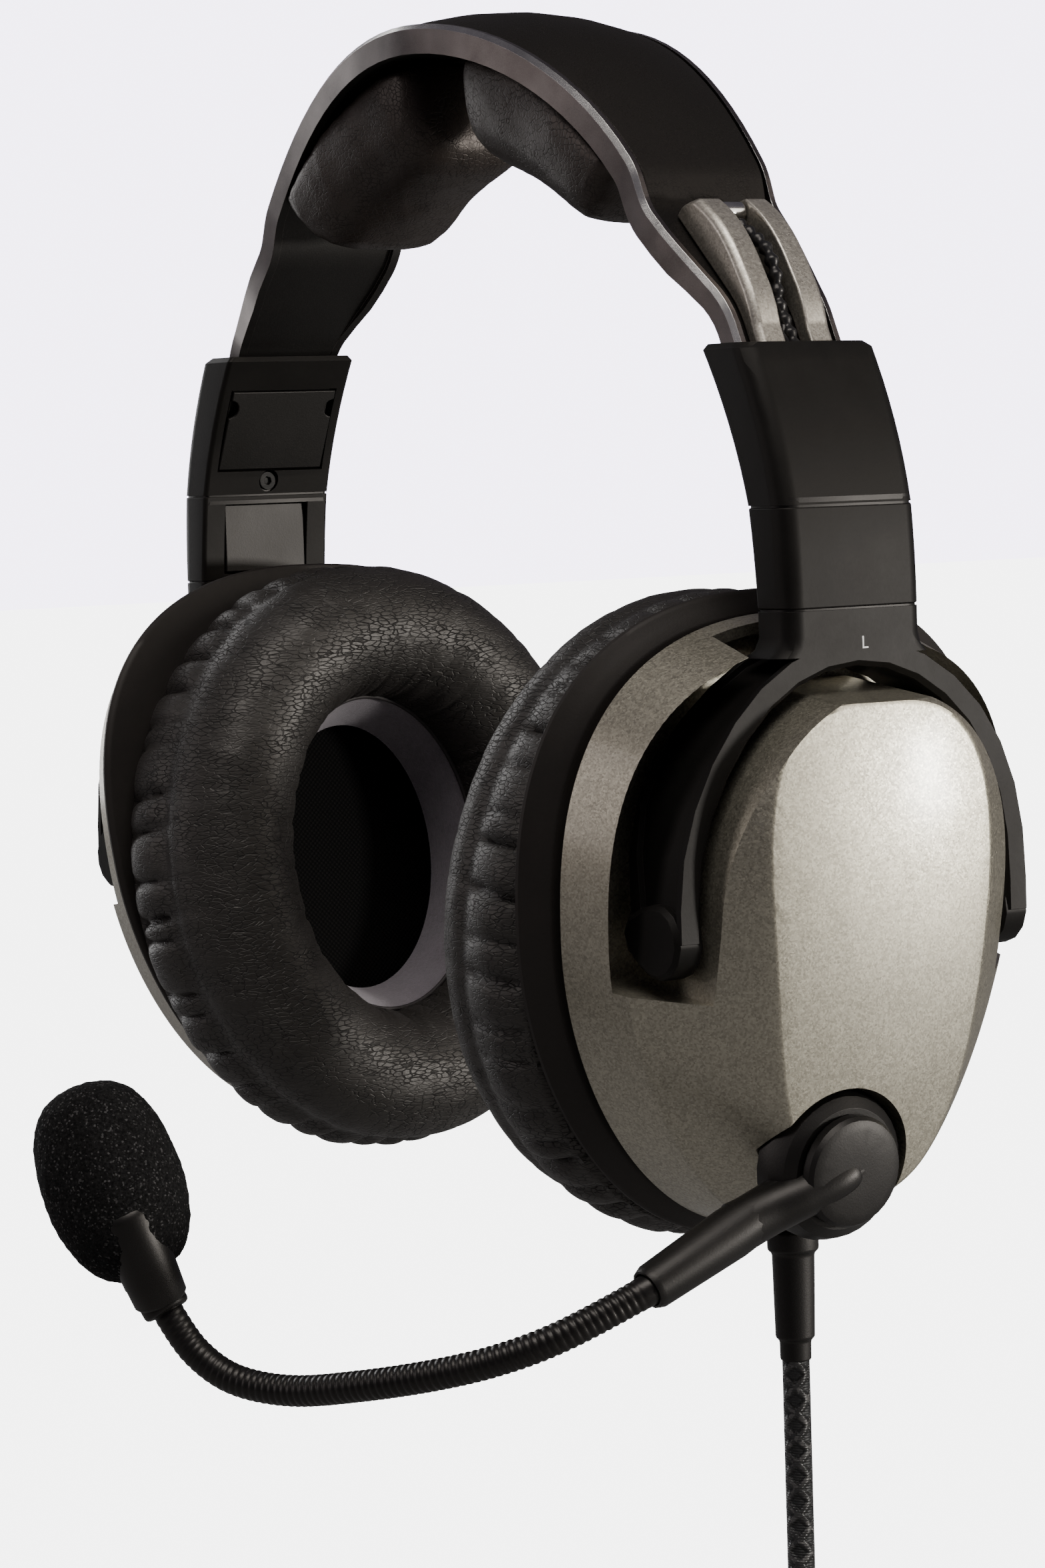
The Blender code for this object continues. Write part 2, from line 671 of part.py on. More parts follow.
def shell_rings(frame, wall):
    """Rings of the shell's skin, moved inward by a wall thickness."""
    low = SHELL_RIM if wall == 0 else SHELL_RIM - 2.0
    rings = [[frame.at(low, y, z) for y, z in egg(40.0 - wall, 48.5 - wall)]]
    if wall == 0:
        rings.append([frame.at(SHELL_CREASE - 0.6, y, z) for y, z in egg(36.9, 46.4)])
    rings.append([frame.at(SHELL_CREASE + 0.1 - 0.4 * wall, y, z)
                  for y, z in egg(36.3 - wall, 45.9 - wall)])
    outer = egg(36.3 - wall, 45.9 - wall)
    inner = face_outline(-0.55 * wall)
    base = SHELL_CREASE - 0.4 * wall
    for t in (0.45, 0.94):
        ring = []
        for (ya, za), (yb, zb) in zip(outer, inner):
            y, z = ya + (yb - ya) * t, za + (zb - za) * t
            top = dome(yb, zb, wall)
            ring.append(frame.at(base + (top - base) * (t + 0.22 * t * (1 - t)), y, z))
        rings.append(ring)
    for t in (1.0, 0.9, 0.6, 0.25):
        ring = []
        for yb, zb in inner:
            y, z = yb * t, -1.5 + (zb + 1.5) * t
            drop = wall + (0.25 if t == 1.0 else 0.0)
            ring.append(frame.at(dome(y, z, drop), y, z))
        rings.append(ring)
    return rings


def column(frame, half_y, half_z, n0, n1, name, cutters, low=-60.0):
    """D-shaped column under the yoke arch, used to shape the recess."""
    out = []
    for a in np.linspace(0, math.pi, 19):
        out.append((half_y * math.cos(a), YOKE_CENTRE + half_z * math.sin(a)))
    out += [(-half_y, low), (half_y, low)]
    return loft(name, [[frame.at(n, y, z) for y, z in out] for n in (n0, n1)], None, cutters)


def recess(frame, grow, name, cutters):
    """Volume removed round the yoke: outside the column, above the step, over the ledge."""
    z0 = -8.6 - grow
    slope = 0.07
    outer = []
    for z, n in ((z0, -10.5 - grow - slope * z0), (60.0, -10.5 - grow - slope * 60.0)):
        outer.append([(n, -60, z), (n, 60, z), (40, 60, z), (40, -60, z)])
    block = loft(name, [[frame.at(*p) for p in ring] for ring in outer], None, cutters)
    col = column(frame, 27.7 - grow, 32.7 - grow, -40, 60, name + "_column", cutters)
    cut(block, col)
    return block


def fin_keep(frame, name, cutters):
    """Ring of the shell kept outside the yoke arms."""
    rings = []
    for a in np.linspace(0, 2 * math.pi, 36, endpoint=False):
        c, q = math.cos(a), math.sin(a)
        ring = []
        for r, n in ((0.0, -30.0), (14.0, -30.0), (14.0, 30.0), (0.0, 30.0)):
            ring.append(frame.at(n, (37.0 + r) * c, YOKE_CENTRE - 1.0 + (43.2 + r) * q))
        rings.append(ring)
    return loft(name, rings, None, cutters, wrap=True)


def build_cup(side, tag, extend, parts, cutters, mats):
    """One ear cup: shell, chassis, baffle, driver, cushion, liner and circuit board."""
    frame = CupFrame(side, extend)

    shell = loft("cup_shell_" + tag, shell_rings(frame, 0.0), mats["shell"], parts)
    cutaway = recess(frame, 0.0, "recess_" + tag, cutters)
    head_room = box("head_room_" + tag, (-11.8, -17.0, 36.0), (30, 17.0, 60), None, cutters,
                    frame.at)
    cut(cutaway, fin_keep(frame, "fin_" + tag, cutters))
    cut(shell, cutaway)
    cut(shell, head_room)
    cavity = loft("cavity_" + tag, shell_rings(frame, SHELL_WALL), None, cutters)
    cut(cavity, recess(frame, 2.0, "recess_in_" + tag, cutters))
    if side > 0:
        seat = cylinder("boom_seat", frame.at(4.5, HUB_Y, HUB_Z), frame.at(20, HUB_Y, HUB_Z),
                        HUB_BASE_R + 2.2, None, cutters)
        cut(cavity, seat)
    cut(shell, cavity)
    if side > 0:
        pocket = cylinder("boom_pocket", frame.at(8.3, HUB_Y, HUB_Z), frame.at(30, HUB_Y, HUB_Z),
                          HUB_BASE_R + 0.4, None, cutters, sides=32)
        cut(shell, pocket)
    for sy, word in ((-1, "front"), (1, "rear")):
        o = frame.origin
        hole = cylinder("shell_pin_hole_%s_%s" % (tag, word),
                        (side * (o.x + 0.3), sy * 18, o.z), (side * (o.x + 0.3), sy * 34, o.z),
                        2.35, None, cutters, sides=16)
        cut(shell, hole)

    count = 40
    profile = ((44.0, 51.0, CHASSIS_BACK), (44.4, 51.3, CHASSIS_BACK + 0.8),
               (44.0, 51.0, -19.6), (40.4, 48.2, -17.0), (38.0, 46.2, -16.8),
               (38.0, 46.2, SHELL_RIM - GAP), (33.6, 41.6, SHELL_RIM - GAP),
               (33.6, 41.6, CHASSIS_BACK))
    loops = [egg(hy, hz, count) for hy, hz, _ in profile]
    rings = []
    for j in range(count):
        rings.append([frame.at(profile[i][2], *loops[i][j]) for i in range(len(profile))])
    loft("cup_chassis_" + tag, rings, mats["chassis"], parts, wrap=True)

    drum = []
    steps = ((23.6, 31.4, -23.5), (24.0, 31.8, -23.1), (24.0, 31.8, -20.0), (33.2, 41.2, -20.0),
             (33.2, 41.2, -17.6))
    for hy, hz, n in steps:
        if hy < 30:
            ring = [(hy * math.cos(a), CUSHION_CENTRE + hz * math.sin(a))
                    for a in np.linspace(0, 2 * math.pi, count, endpoint=False)]
        else:
            ring = egg(hy, hz, count)
        drum.append([frame.at(n, y, z) for y, z in ring])
    loft("baffle_" + tag, drum, mats["mesh"], parts)

    turned("driver_" + tag, frame.at(-17.2, 0, CUSHION_CENTRE), frame.axis(),
           ((17.0, 0.0), (17.0, 3.0), (11.0, 5.6), (6.0, 5.6)), mats["driver"], parts, sides=20)

    section = ((0.94, -21.7), (1.0, -28.5), (0.985, -36.0), (0.89, -43.2),
               (0.71, -48.2), (0.47, CUSHION_FACE), (0.25, -48.2), (0.08, -43.2),
               (0.02, -36.0), (0.09, -29.5), (0.215, -26.2), (0.215, -21.7))
    rings = []
    for a in np.linspace(0, 2 * math.pi, 40, endpoint=False):
        c, q = math.cos(a), math.sin(a)
        ring = []
        for u, n in section:
            y = (EAR_HALF_Y + (CUSHION_HALF_Y - EAR_HALF_Y) * u) * c
            z = CUSHION_CENTRE + (EAR_HALF_Z + (CUSHION_HALF_Z - EAR_HALF_Z) * u) * q
            ring.append(frame.at(n, y, z))
        rings.append(ring)
    loft("ear_cushion_" + tag, rings, mats["cushion"], parts, wrap=True)

    rings = []
    for a in np.linspace(0, 2 * math.pi, 40, endpoint=False):
        c, q = math.cos(a), math.sin(a)
        rings.append([frame.at(n, hy * c, CUSHION_CENTRE + hz * q)
                      for hy, hz, n in ((23.8, 31.6, -23.8), (23.8, 31.6, -25.2),
                                        (13.0, 23.0, -25.2), (13.0, 23.0, -23.8))])
    loft("cushion_liner_" + tag, rings, mats["liner"], parts, wrap=True)

    box("circuit_board_" + tag, (-6.0, -15.0, -18.0), (-4.6, 15.0, 18.0), mats["board"], parts,
        frame.at)
    return frame


# ------------------------------------------------------------------ boom microphone
ARM_END = (13.2, -41.6, -48.6)
GOOSE_POINTS = ((89.6, -42.6, -189.5), (85.8, -53.8, -194.7), (79.6, -61.0, -198.2),
                (71.0, -67.2, -201.0), (59.5, -73.2, -203.6), (48.5, -78.0, -205.3),
                (40.0, -82.6, -204.3), (34.6, -86.0, -200.6), (31.4, -88.6, -195.0))
MIC_AXIS = (-0.36, -0.16, 0.92)
SCREEN_CENTRE = (22.4, -92.9, -175.0)
SCREEN_LONG = 31.6
SCREEN_WIDE = 22.4


def build_boom(frame, parts, cutters, mats):
    """Turning hub with its arm, cap, gooseneck, microphone and windscreen."""
    out = frame.axis()
    hub = turned("boom_housing", frame.at(8.6, HUB_Y, HUB_Z), out,
                 ((HUB_BASE_R, 0.0), (HUB_BASE_R, 2.6), (HUB_BASE_R - 1.0, 5.2),
                  (HUB_BASE_R - 2.6, 6.4)), mats["boom"], parts, sides=32)
    begin = Vector(frame.at(11.8, HUB_Y - 4.0, HUB_Z - 1.7))
    finish = Vector(frame.at(*ARM_END))
    path = [begin.lerp(finish, t) for t in (0.0, 0.25, 0.5, 0.75, 0.97, 1.0)]
    arm = tube("boom_arm", path, [3.0, 3.6, 4.0, 3.8, 3.5, 3.1], None, cutters, sides=16)
    cut(hub, arm, "UNION")
    dirn = (finish - begin).normalized()
    socket = cylinder("boom_socket", finish - dirn * 5.0, finish + dirn * 3.0, GOOSE_R + 0.3, None,
                      cutters, sides=24)
    cut(hub, socket)

    cap = turned("boom_cap", frame.at(15.4, HUB_Y, HUB_Z), out,
                 ((HUB_CAP_R, 0.0), (HUB_CAP_R, 1.4), (HUB_CAP_R - 0.5, 2.1),
                  (HUB_CAP_R - 2.0, 2.6), (3.0, 2.8)), mats["cap"], parts, sides=32)
    a = Vector(frame.at(17.4, HUB_Y + 1.0, HUB_Z + 0.4))
    b = Vector(frame.at(16.7, HUB_Y - 7.4, HUB_Z - 3.1))
    ridge = tube("cap_ridge", [a, a.lerp(b, 0.3), b], [0.9, 1.25, 1.0], None, cutters, sides=12)
    cut(cap, ridge, "UNION")

    start = finish - dirn * 4.6
    path = [start] + smooth_path([finish + dirn] + [Vector(p) for p in GOOSE_POINTS[1:]], 5)
    tube("gooseneck", path, GOOSE_R, mats["goose"], parts, sides=10)
    end = path[-1]
    way = (path[-1] - path[-2]).normalized()

    axis = Vector(MIC_AXIS).normalized()
    centre = Vector(SCREEN_CENTRE)
    guess = (centre - axis * 3.0 - end).normalized()
    lean = (way + guess).normalized()
    collar_start = end + lean * 0.75
    turned("mic_collar", collar_start, lean, ((3.3, 0.0), (3.7, 0.5), (3.7, 3.2), (3.2, 3.8)),
           mats["cap"], parts, sides=20)
    foot = collar_start + lean * (3.8 + 0.8)
    tip = centre - axis * 3.0
    body = [foot, foot.lerp(tip, 0.06), foot.lerp(tip, 0.5), foot.lerp(tip, 0.95), tip]
    tube("mic_housing", body, [3.9, 4.3, 4.5, 4.7, 4.2], mats["boom"], parts, sides=20)
    aim = (tip - foot).normalized()
    turned("mic_capsule", tip + aim * GAP, aim, ((4.4, 0.0), (4.7, 0.5), (4.7, 3.6), (4.2, 4.0)),
           mats["screw"], parts, sides=20)

    profile = []
    half = 0.5 * SCREEN_LONG
    wide = 0.5 * SCREEN_WIDE
    for k in range(1, 12):
        t = math.pi * k / 12
        profile.append((wide * math.sin(t) ** 0.86, -half * math.cos(t)))
    screen = turned("mic_windscreen", centre, axis, profile, mats["foam"], parts, sides=26)
    hollow = tube("screen_hollow", [foot - aim * 10.0, tip + aim * 4.6, tip + aim * 4.7],
                  [5.1, 5.1, 5.1], None, cutters, sides=14)
    cut(screen, hollow)


# ------------------------------------------------------------------ cable
def build_cable(frame, shell, parts, cutters, mats):
    """Boot under the left cup, straight run, tied coil, tail and plug."""
    x, _, z = frame.at(-6.0, 0.0, -49.4)
    top = z - 0.55
    turned("cable_boot", (x, 0, top + 4.0), (0, 0, -1),
           ((2.5, 0.0), (2.5, 4.0), (4.05, 4.0), (4.05, 7.0), (3.4, 7.4), (3.35, 8.0),
            (3.1, 20.8), (2.5, 21.2), (2.45, 24.4)), mats["boot"], parts, sides=20)
    hole = cylinder("boot_hole", (x, 0, top - 3), (x, 0, top + 9), 2.9, None, cutters, sides=14)
    cut(shell, hole)
    start = top + 4.0 - 24.4 - GAP
    end = start - CABLE_DROP
    path = [(x, 0, start - CABLE_DROP * k / 8) for k in range(9)]
    tube("cable_run", path, CABLE_R, mats["cable"], parts, sides=12)
    ring_top = end - GAP - 1.2 - GAP
    centre = Vector((x, 0, ring_top - COIL_BUNDLE - COIL_R))
    section = [(COIL_R + COIL_BUNDLE * math.cos(a), COIL_BUNDLE * math.sin(a))
               for a in np.linspace(0, 2 * math.pi, 12, endpoint=False)]
    ring_turned("cable_coil", centre, (0, 1, 0), section, mats["cable"], parts, sides=36)
    tie_at = Vector((x, 0, ring_top - COIL_BUNDLE))
    rings = []
    for t in np.linspace(0, 2 * math.pi, 32, endpoint=False):
        ring = []
        for r, h in ((COIL_BUNDLE + GAP + 0.02, -4.0), (COIL_BUNDLE + GAP + 1.15, -4.0),
                     (COIL_BUNDLE + GAP + 1.15, 4.0), (COIL_BUNDLE + GAP + 0.02, 4.0)):
            bend = h / COIL_R
            radius = COIL_R + r * math.cos(t)
            ring.append(centre + Vector((radius * math.sin(bend), r * math.sin(t),
                                         radius * math.cos(bend))))
        rings.append(ring)
    loft("coil_tie", rings, mats["tie"], parts, wrap=True)
    low = centre.z - COIL_R - COIL_BUNDLE - GAP
    tail = 26.0
    tube("cable_tail", [(x, 0, low - tail * k / 5) for k in range(6)], CABLE_R, mats["cable"],
         parts, sides=12)
    plug = low - tail - GAP
    turned("plug_body", (x, 0, plug), (0, 0, -1),
           ((2.9, 0.0), (3.3, 3.0), (3.6, 11.0), (5.6, 12.0), (5.9, 13.0), (5.9, 26.0),
            (5.4, 27.0)), mats["plug"], parts, sides=24)
    turned("plug_tip", (x, 0, plug - 27.0 - GAP), (0, 0, -1),
           ((4.6, 0.0), (4.6, 7.0), (4.2, 7.6)), mats["bright"], parts, sides=24)
    return tie_at


def main():
    """Build the headset."""
    clear_scene()
    parts = collection(OBJECT_NAME)
    cutters = collection("cutters")
    mats = {
        "frame": material("brushed_gunmetal", (0.30, 0.285, 0.27), 0.32, 1.0),
        "cover": material("black_cover_leather", (0.022, 0.021, 0.021), 0.45),
        "pad": material("pad_leather", (0.045, 0.036, 0.033), 0.52),
        "silver": material("champagne_metal", (0.56, 0.54, 0.49), 0.36, 0.7),
        "bright": material("polished_pin", (0.74, 0.73, 0.70), 0.18, 1.0),
        "wire": material("wire_jacket", (0.03, 0.03, 0.032), 0.4),
        "stem": material("satin_black_plastic", (0.030, 0.030, 0.030), 0.36),
        "plate": material("inner_plate_plastic", (0.024, 0.024, 0.024), 0.5),
        "screw": material("dark_screw_steel", (0.10, 0.10, 0.10), 0.35, 1.0),
        "yoke": material("yoke_black_paint", (0.027, 0.026, 0.025), 0.34),
        "shell": material("champagne_shell_paint", (0.50, 0.485, 0.44), 0.38, 0.55),
        "chassis": material("matte_chassis_plastic", (0.060, 0.057, 0.053), 0.6),
        "mesh": material("baffle_mesh", (0.012, 0.012, 0.012), 0.9),
        "driver": material("driver_cone", (0.05, 0.05, 0.052), 0.55),
        "cushion": material("cushion_leather", (0.040, 0.033, 0.030), 0.5),
        "liner": material("felt_liner", (0.115, 0.105, 0.115), 0.95),
        "board": material("circuit_board_green", (0.02, 0.09, 0.045), 0.5),
        "boom": material("boom_black_plastic", (0.028, 0.028, 0.028), 0.38),
        "cap": material("cap_black_plastic", (0.024, 0.024, 0.024), 0.42),
        "goose": material("gooseneck_rubber", (0.032, 0.031, 0.030), 0.45),
        "foam": material("windscreen_foam", (0.018, 0.018, 0.018), 0.95),
        "boot": material("boot_rubber", (0.026, 0.026, 0.026), 0.55),
        "cable": material("braided_cable", (0.035, 0.035, 0.036), 0.5),
        "tie": material("tie_strap", (0.02, 0.02, 0.02), 0.6),
        "plug": material("plug_plastic", (0.03, 0.03, 0.03), 0.4),
    }
    build_headband(parts, cutters, mats)
    left = None
    for side, tag, extend in ((1, "left", EXTEND_LEFT), (-1, "right", EXTEND_RIGHT)):
        build_stem(side, tag, extend, parts, cutters, mats)
        build_yoke(side, tag, extend, parts, cutters, mats)
        frame = build_cup(side, tag, extend, parts, cutters, mats)
        if side > 0:
            left = frame
    build_boom(left, parts, cutters, mats)
    build_cable(left, bpy.data.objects["cup_shell_left"], parts, cutters, mats)


main()
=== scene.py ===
"""Looks of the over-ear aviation headset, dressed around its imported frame.

Every length is in millimetres until MM turns it into metres at the moment a mesh is made.
World frame: +X is the wearer's left, -Y the wearer's front, +Z up.
"""

import json
import logging
import math
from dataclasses import dataclass, field
from enum import Enum
from typing import Callable, Iterable, Optional, Sequence, Union

import bmesh
import bpy
import numpy as np
from mathutils import Matrix, Vector

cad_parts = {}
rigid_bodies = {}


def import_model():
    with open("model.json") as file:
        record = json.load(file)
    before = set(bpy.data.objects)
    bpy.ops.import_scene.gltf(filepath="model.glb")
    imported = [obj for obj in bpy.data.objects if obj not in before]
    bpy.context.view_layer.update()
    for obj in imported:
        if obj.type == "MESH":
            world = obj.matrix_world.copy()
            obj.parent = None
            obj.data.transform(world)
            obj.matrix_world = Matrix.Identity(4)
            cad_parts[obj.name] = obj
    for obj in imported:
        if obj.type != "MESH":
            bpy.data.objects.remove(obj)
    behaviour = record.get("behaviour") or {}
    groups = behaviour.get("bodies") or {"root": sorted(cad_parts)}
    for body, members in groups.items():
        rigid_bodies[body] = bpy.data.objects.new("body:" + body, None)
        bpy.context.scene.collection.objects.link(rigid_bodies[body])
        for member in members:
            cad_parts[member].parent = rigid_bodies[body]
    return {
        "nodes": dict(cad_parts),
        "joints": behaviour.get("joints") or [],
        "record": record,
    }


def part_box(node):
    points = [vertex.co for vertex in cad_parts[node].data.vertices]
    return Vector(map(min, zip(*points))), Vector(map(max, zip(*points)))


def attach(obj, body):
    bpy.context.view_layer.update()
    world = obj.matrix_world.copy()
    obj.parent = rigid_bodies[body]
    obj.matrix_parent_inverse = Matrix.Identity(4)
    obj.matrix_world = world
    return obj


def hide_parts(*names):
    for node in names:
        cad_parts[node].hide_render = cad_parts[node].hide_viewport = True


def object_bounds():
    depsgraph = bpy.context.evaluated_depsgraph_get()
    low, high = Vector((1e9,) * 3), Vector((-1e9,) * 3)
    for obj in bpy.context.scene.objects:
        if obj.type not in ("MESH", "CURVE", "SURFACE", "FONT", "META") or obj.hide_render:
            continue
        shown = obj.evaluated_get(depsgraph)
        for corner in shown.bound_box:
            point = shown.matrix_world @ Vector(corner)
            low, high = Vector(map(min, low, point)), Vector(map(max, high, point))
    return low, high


logging.basicConfig(level=logging.INFO, format="%(name)s: %(message)s")
LOG = logging.getLogger("headset")

for leftover in list(bpy.data.objects):
    bpy.data.objects.remove(leftover, do_unlink=True)
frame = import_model()
CAD_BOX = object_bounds()

MM = 0.001
Point = Sequence[float]
Ring = list[Point]
JOINTS = {joint["name"]: joint for joint in frame["joints"]}
SLOT_OF = {part["node"]: part["material_slot"] for part in frame["record"]["subparts"]}
BODY_OF = {node: body for body, nodes in frame["record"]["behaviour"]["bodies"].items() for node in nodes}


class Side(Enum):
    """Which side of the head a piece is on, with the sign of its X."""

    LEFT = 1
    RIGHT = -1

    @property
    def tag(self) -> str:
        """Word used in node and body names."""
        return self.name.lower()


# ------------------------------------------------------------------ shader maths
class Sock:
    """A shader socket that takes part in Python expressions."""

    def __init__(self, wiring: "Wiring", socket: bpy.types.NodeSocket) -> None:
        """Keep the socket and the wiring that new nodes go to."""
        self.wiring = wiring
        self.socket = socket

    def math(self, operation: str, *values: "Value") -> "Sock":
        """Add a Math node.

        Args:
            operation: the Math node's operation.
            values: what goes into its sockets, in order.

        Returns:
            The node's result.
        """
        return self.wiring.node("ShaderNodeMath", {"operation": operation}, dict(enumerate(values)))

    def __add__(self, other: "Value") -> "Sock":
        """self + other."""
        return self.math("ADD", self, other)

    def __radd__(self, other: "Value") -> "Sock":
        """other + self."""
        return self.math("ADD", other, self)

    def __sub__(self, other: "Value") -> "Sock":
        """self - other."""
        return self.math("SUBTRACT", self, other)

    def __rsub__(self, other: "Value") -> "Sock":
        """other - self."""
        return self.math("SUBTRACT", other, self)

    def __mul__(self, other: "Value") -> "Sock":
        """self * other."""
        return self.math("MULTIPLY", self, other)

    def __rmul__(self, other: "Value") -> "Sock":
        """other * self."""
        return self.math("MULTIPLY", other, self)

    def __truediv__(self, other: "Value") -> "Sock":
        """self / other."""
        return self.math("DIVIDE", self, other)

    def __pow__(self, other: "Value") -> "Sock":
        """self ** other."""
        return self.math("POWER", self, other)

    def __abs__(self) -> "Sock":
        """abs(self)."""
        return self.math("ABSOLUTE", self)

    def wave(self) -> "Sock":
        """Sine of self."""
        return self.math("SINE", self)

    def most(self, other: "Value") -> "Sock":
        """The larger of self and other."""
        return self.math("MAXIMUM", self, other)

    def band(self, low: float, high: float) -> "Sock":
        """Smooth step of self.

        Args:
            low: value that gives 0.
            high: value that gives 1.

        Returns:
            A number from 0 to 1.
        """
        settings = {"interpolation_type": "SMOOTHSTEP"}
        return self.wiring.node("ShaderNodeMapRange", settings, {0: self, 1: low, 2: high, 3: 0.0, 4: 1.0})


Value = Union[Sock, float, int, tuple]


class Wiring:
    """The node tree of one material."""

    def __init__(self, name: str) -> None:
        """Start a material with a Principled shader."""
        self.material = bpy.data.materials.new(name)
        self.material.use_nodes = True
        self.tree = self.material.node_tree
        self.shader = self.tree.nodes["Principled BSDF"]

    def plug(self, socket: bpy.types.NodeSocket, value: Value) -> None:
        """Set a socket to a plain value, or link it.

        Args:
            socket: the socket to feed.
            value: a number, colour, vector or Sock.
        """
        if isinstance(value, Sock):
            self.tree.links.new(value.socket, socket)
        elif isinstance(value, tuple) and socket.type == "RGBA":
            socket.default_value = (*value[:3], 1.0)
        else:
            socket.default_value = value

    def node(self, kind: str, settings: Optional[dict] = None, inputs: Optional[dict] = None,
             output: Union[int, str] = 0) -> Sock:
        """Add any node.

        Args:
            kind: the node's type.
            settings: the node's own settings; "stops" are a ramp's (place, colour) pairs.
            inputs: values or links by socket index or name.
            output: which output to give back.

        Returns:
            The chosen output.
        """
        made = self.tree.nodes.new(kind)
        for key, value in (settings or {}).items():
            if key == "stops":
                ramp = made.color_ramp
                while len(ramp.elements) < len(value):
                    ramp.elements.new(0.5)
                for element, (place, colour) in zip(ramp.elements, value):
                    element.position = place
                    element.color = (*colour, 1.0)
            else:
                setattr(made, key, value)
        for key, value in (inputs or {}).items():
            self.plug(made.inputs[key], value)
        return Sock(self, made.outputs[output])

    def place(self, stretch: Point = (1.0, 1.0, 1.0)) -> Sock:
        """Object coordinates in millimetres.

        Args:
            stretch: factor along each axis, below 1 where the pattern runs long.

        Returns:
            The scaled coordinates.
        """
        raw = self.node("ShaderNodeTexCoord", output="Object")
        scale = tuple(s / MM for s in stretch)
        return self.node("ShaderNodeVectorMath", {"operation": "MULTIPLY"}, {0: raw, 1: scale})

    def noise(self, where: Sock, size: float, detail: float = 3.0, rough: float = 0.55,
              bend: float = 0.0) -> Sock:
        """Noise from 0 to 1.

        Args:
            where: coordinates in millimetres.
            size: size of a blot in millimetres.
            detail: octaves.
            rough: weight of the fine octaves.
            bend: distortion.

        Returns:
            The noise value.
        """
        inputs = {"Vector": where, "Scale": 1.0 / size, "Detail": detail, "Roughness": rough,
                  "Distortion": bend}
        return self.node("ShaderNodeTexNoise", None, inputs, "Fac")

    def cells(self, where: Sock, size: float, feature: str = "F1", output: str = "Distance",
              random: float = 1.0) -> Sock:
        """Voronoi cells.

        Args:
            where: coordinates in millimetres.
            size: size of a cell in millimetres.
            feature: F1, or DISTANCE_TO_EDGE for cracks.
            output: Distance or Color.
            random: how uneven the cells are.

        Returns:
            The chosen output.
        """
        inputs = {"Vector": where, "Scale": 1.0 / size, "Randomness": random}
        return self.node("ShaderNodeTexVoronoi", {"feature": feature}, inputs, output)

    def split(self, vector: Sock) -> tuple[Sock, Sock, Sock]:
        """The three parts of a vector."""
        made = self.tree.nodes.new("ShaderNodeSeparateXYZ")
        self.plug(made.inputs[0], vector)
        return tuple(Sock(self, made.outputs[i]) for i in range(3))

    def blend(self, amount: Value, first: Value, second: Value) -> Sock:
        """Mix two colours.

        Args:
            amount: 0 for the first, 1 for the second.
            first: a colour.
            second: a colour.

        Returns:
            The mixed colour.
        """
        return self.node("ShaderNodeMix", {"data_type": "RGBA"}, {0: amount, 6: first, 7: second}, 2)

    def relief(self, height: Sock, depth: float, under: Optional[Sock] = None) -> Sock:
        """Bump from a height.

        Args:
            height: height from 0 to 1.
            depth: depth of 1 in millimetres.
            under: a relief below this one.

        Returns:
            The bent normal.
        """
        inputs = {"Height": height, "Distance": depth * MM, "Strength": 1.0}
        if under is not None:
            inputs["Normal"] = under
        return self.node("ShaderNodeBump", None, inputs)

    def surface(self, **inputs: Value) -> bpy.types.Material:
        """Feed the shader.

        Args:
            inputs: values by socket name, with _ for a space.

        Returns:
            The finished material.
        """
        for key, value in inputs.items():
            self.plug(self.shader.inputs[key.replace("_", " ")], value)
        return self.material


# ------------------------------------------------------------------ finishes
@dataclass(frozen=True)
class FlakePaint:
    """Metallic paint; each flake's brightness is painted into the colour as a painted glint, over a large
    random cloud of tone.
    """

    name: str
    dark: Point
    light: Point
    metallic: float = 0.85
    roughness: float = 0.40
    flake: float = 0.30
    coat: float = 0.35

    def make(self) -> bpy.types.Material:
        """Build the material."""
        w = Wiring(self.name)
        spot = w.place()
        cell = w.split(w.cells(spot, self.flake, output="Color"))
        coarse = w.split(w.cells(spot, self.flake * 2.3, output="Color"))
        cloud = w.noise(spot, 22.0, 4.0)
        # Painted glint: the flake cells and the coarser cells set how bright each flake is in the base
        # colour; the cloud is random tone.
        glint = cell[0] * 0.75 + coarse[1] * 0.12 + cloud * 0.13
        colour = w.blend(glint, tuple(self.dark), tuple(self.light))
        rough = self.roughness - 0.06 + cell[1] * 0.12 + cloud * 0.03
        bent = w.relief(cell[2], 0.008)
        return w.surface(Base_Color=colour, Metallic=self.metallic, Roughness=rough, Normal=bent,
                         Coat_Weight=self.coat, Coat_Roughness=0.16)


@dataclass(frozen=True)
class SatinSkin:
    """Satin plastic or paint with a faint orange-peel skin."""

    name: str
    colour: Point
    worn: Point
    roughness: float = 0.38
    peel: float = 0.5
    depth: float = 0.012
    metallic: float = 0.0
    coat: float = 0.0
    gloss: float = 0.36
    sheen: tuple[float, ...] = (1.0, 0.94, 0.89, 1.0)

    def make(self) -> bpy.types.Material:
        """Build the material."""
        w = Wiring(self.name)
        spot = w.place()
        peel = w.noise(spot, self.peel, 4.0, 0.6)
        haze = w.noise(spot, 11.0, 5.0, 0.62)
        specks = w.cells(spot, 1.9).band(0.12, 0.0) * w.noise(spot, 5.0).band(0.5, 0.8)
        colour = w.blend(haze.band(0.3, 0.8) * 0.6 + specks * 0.4, tuple(self.colour), tuple(self.worn))
        rough = self.roughness - 0.05 + haze * 0.1 + peel * 0.05
        return w.surface(Base_Color=colour, Roughness=rough, Metallic=self.metallic, Coat_Weight=self.coat,
                         Specular_Tint=self.sheen, Specular_IOR_Level=self.gloss,
                         Normal=w.relief(peel, self.depth))


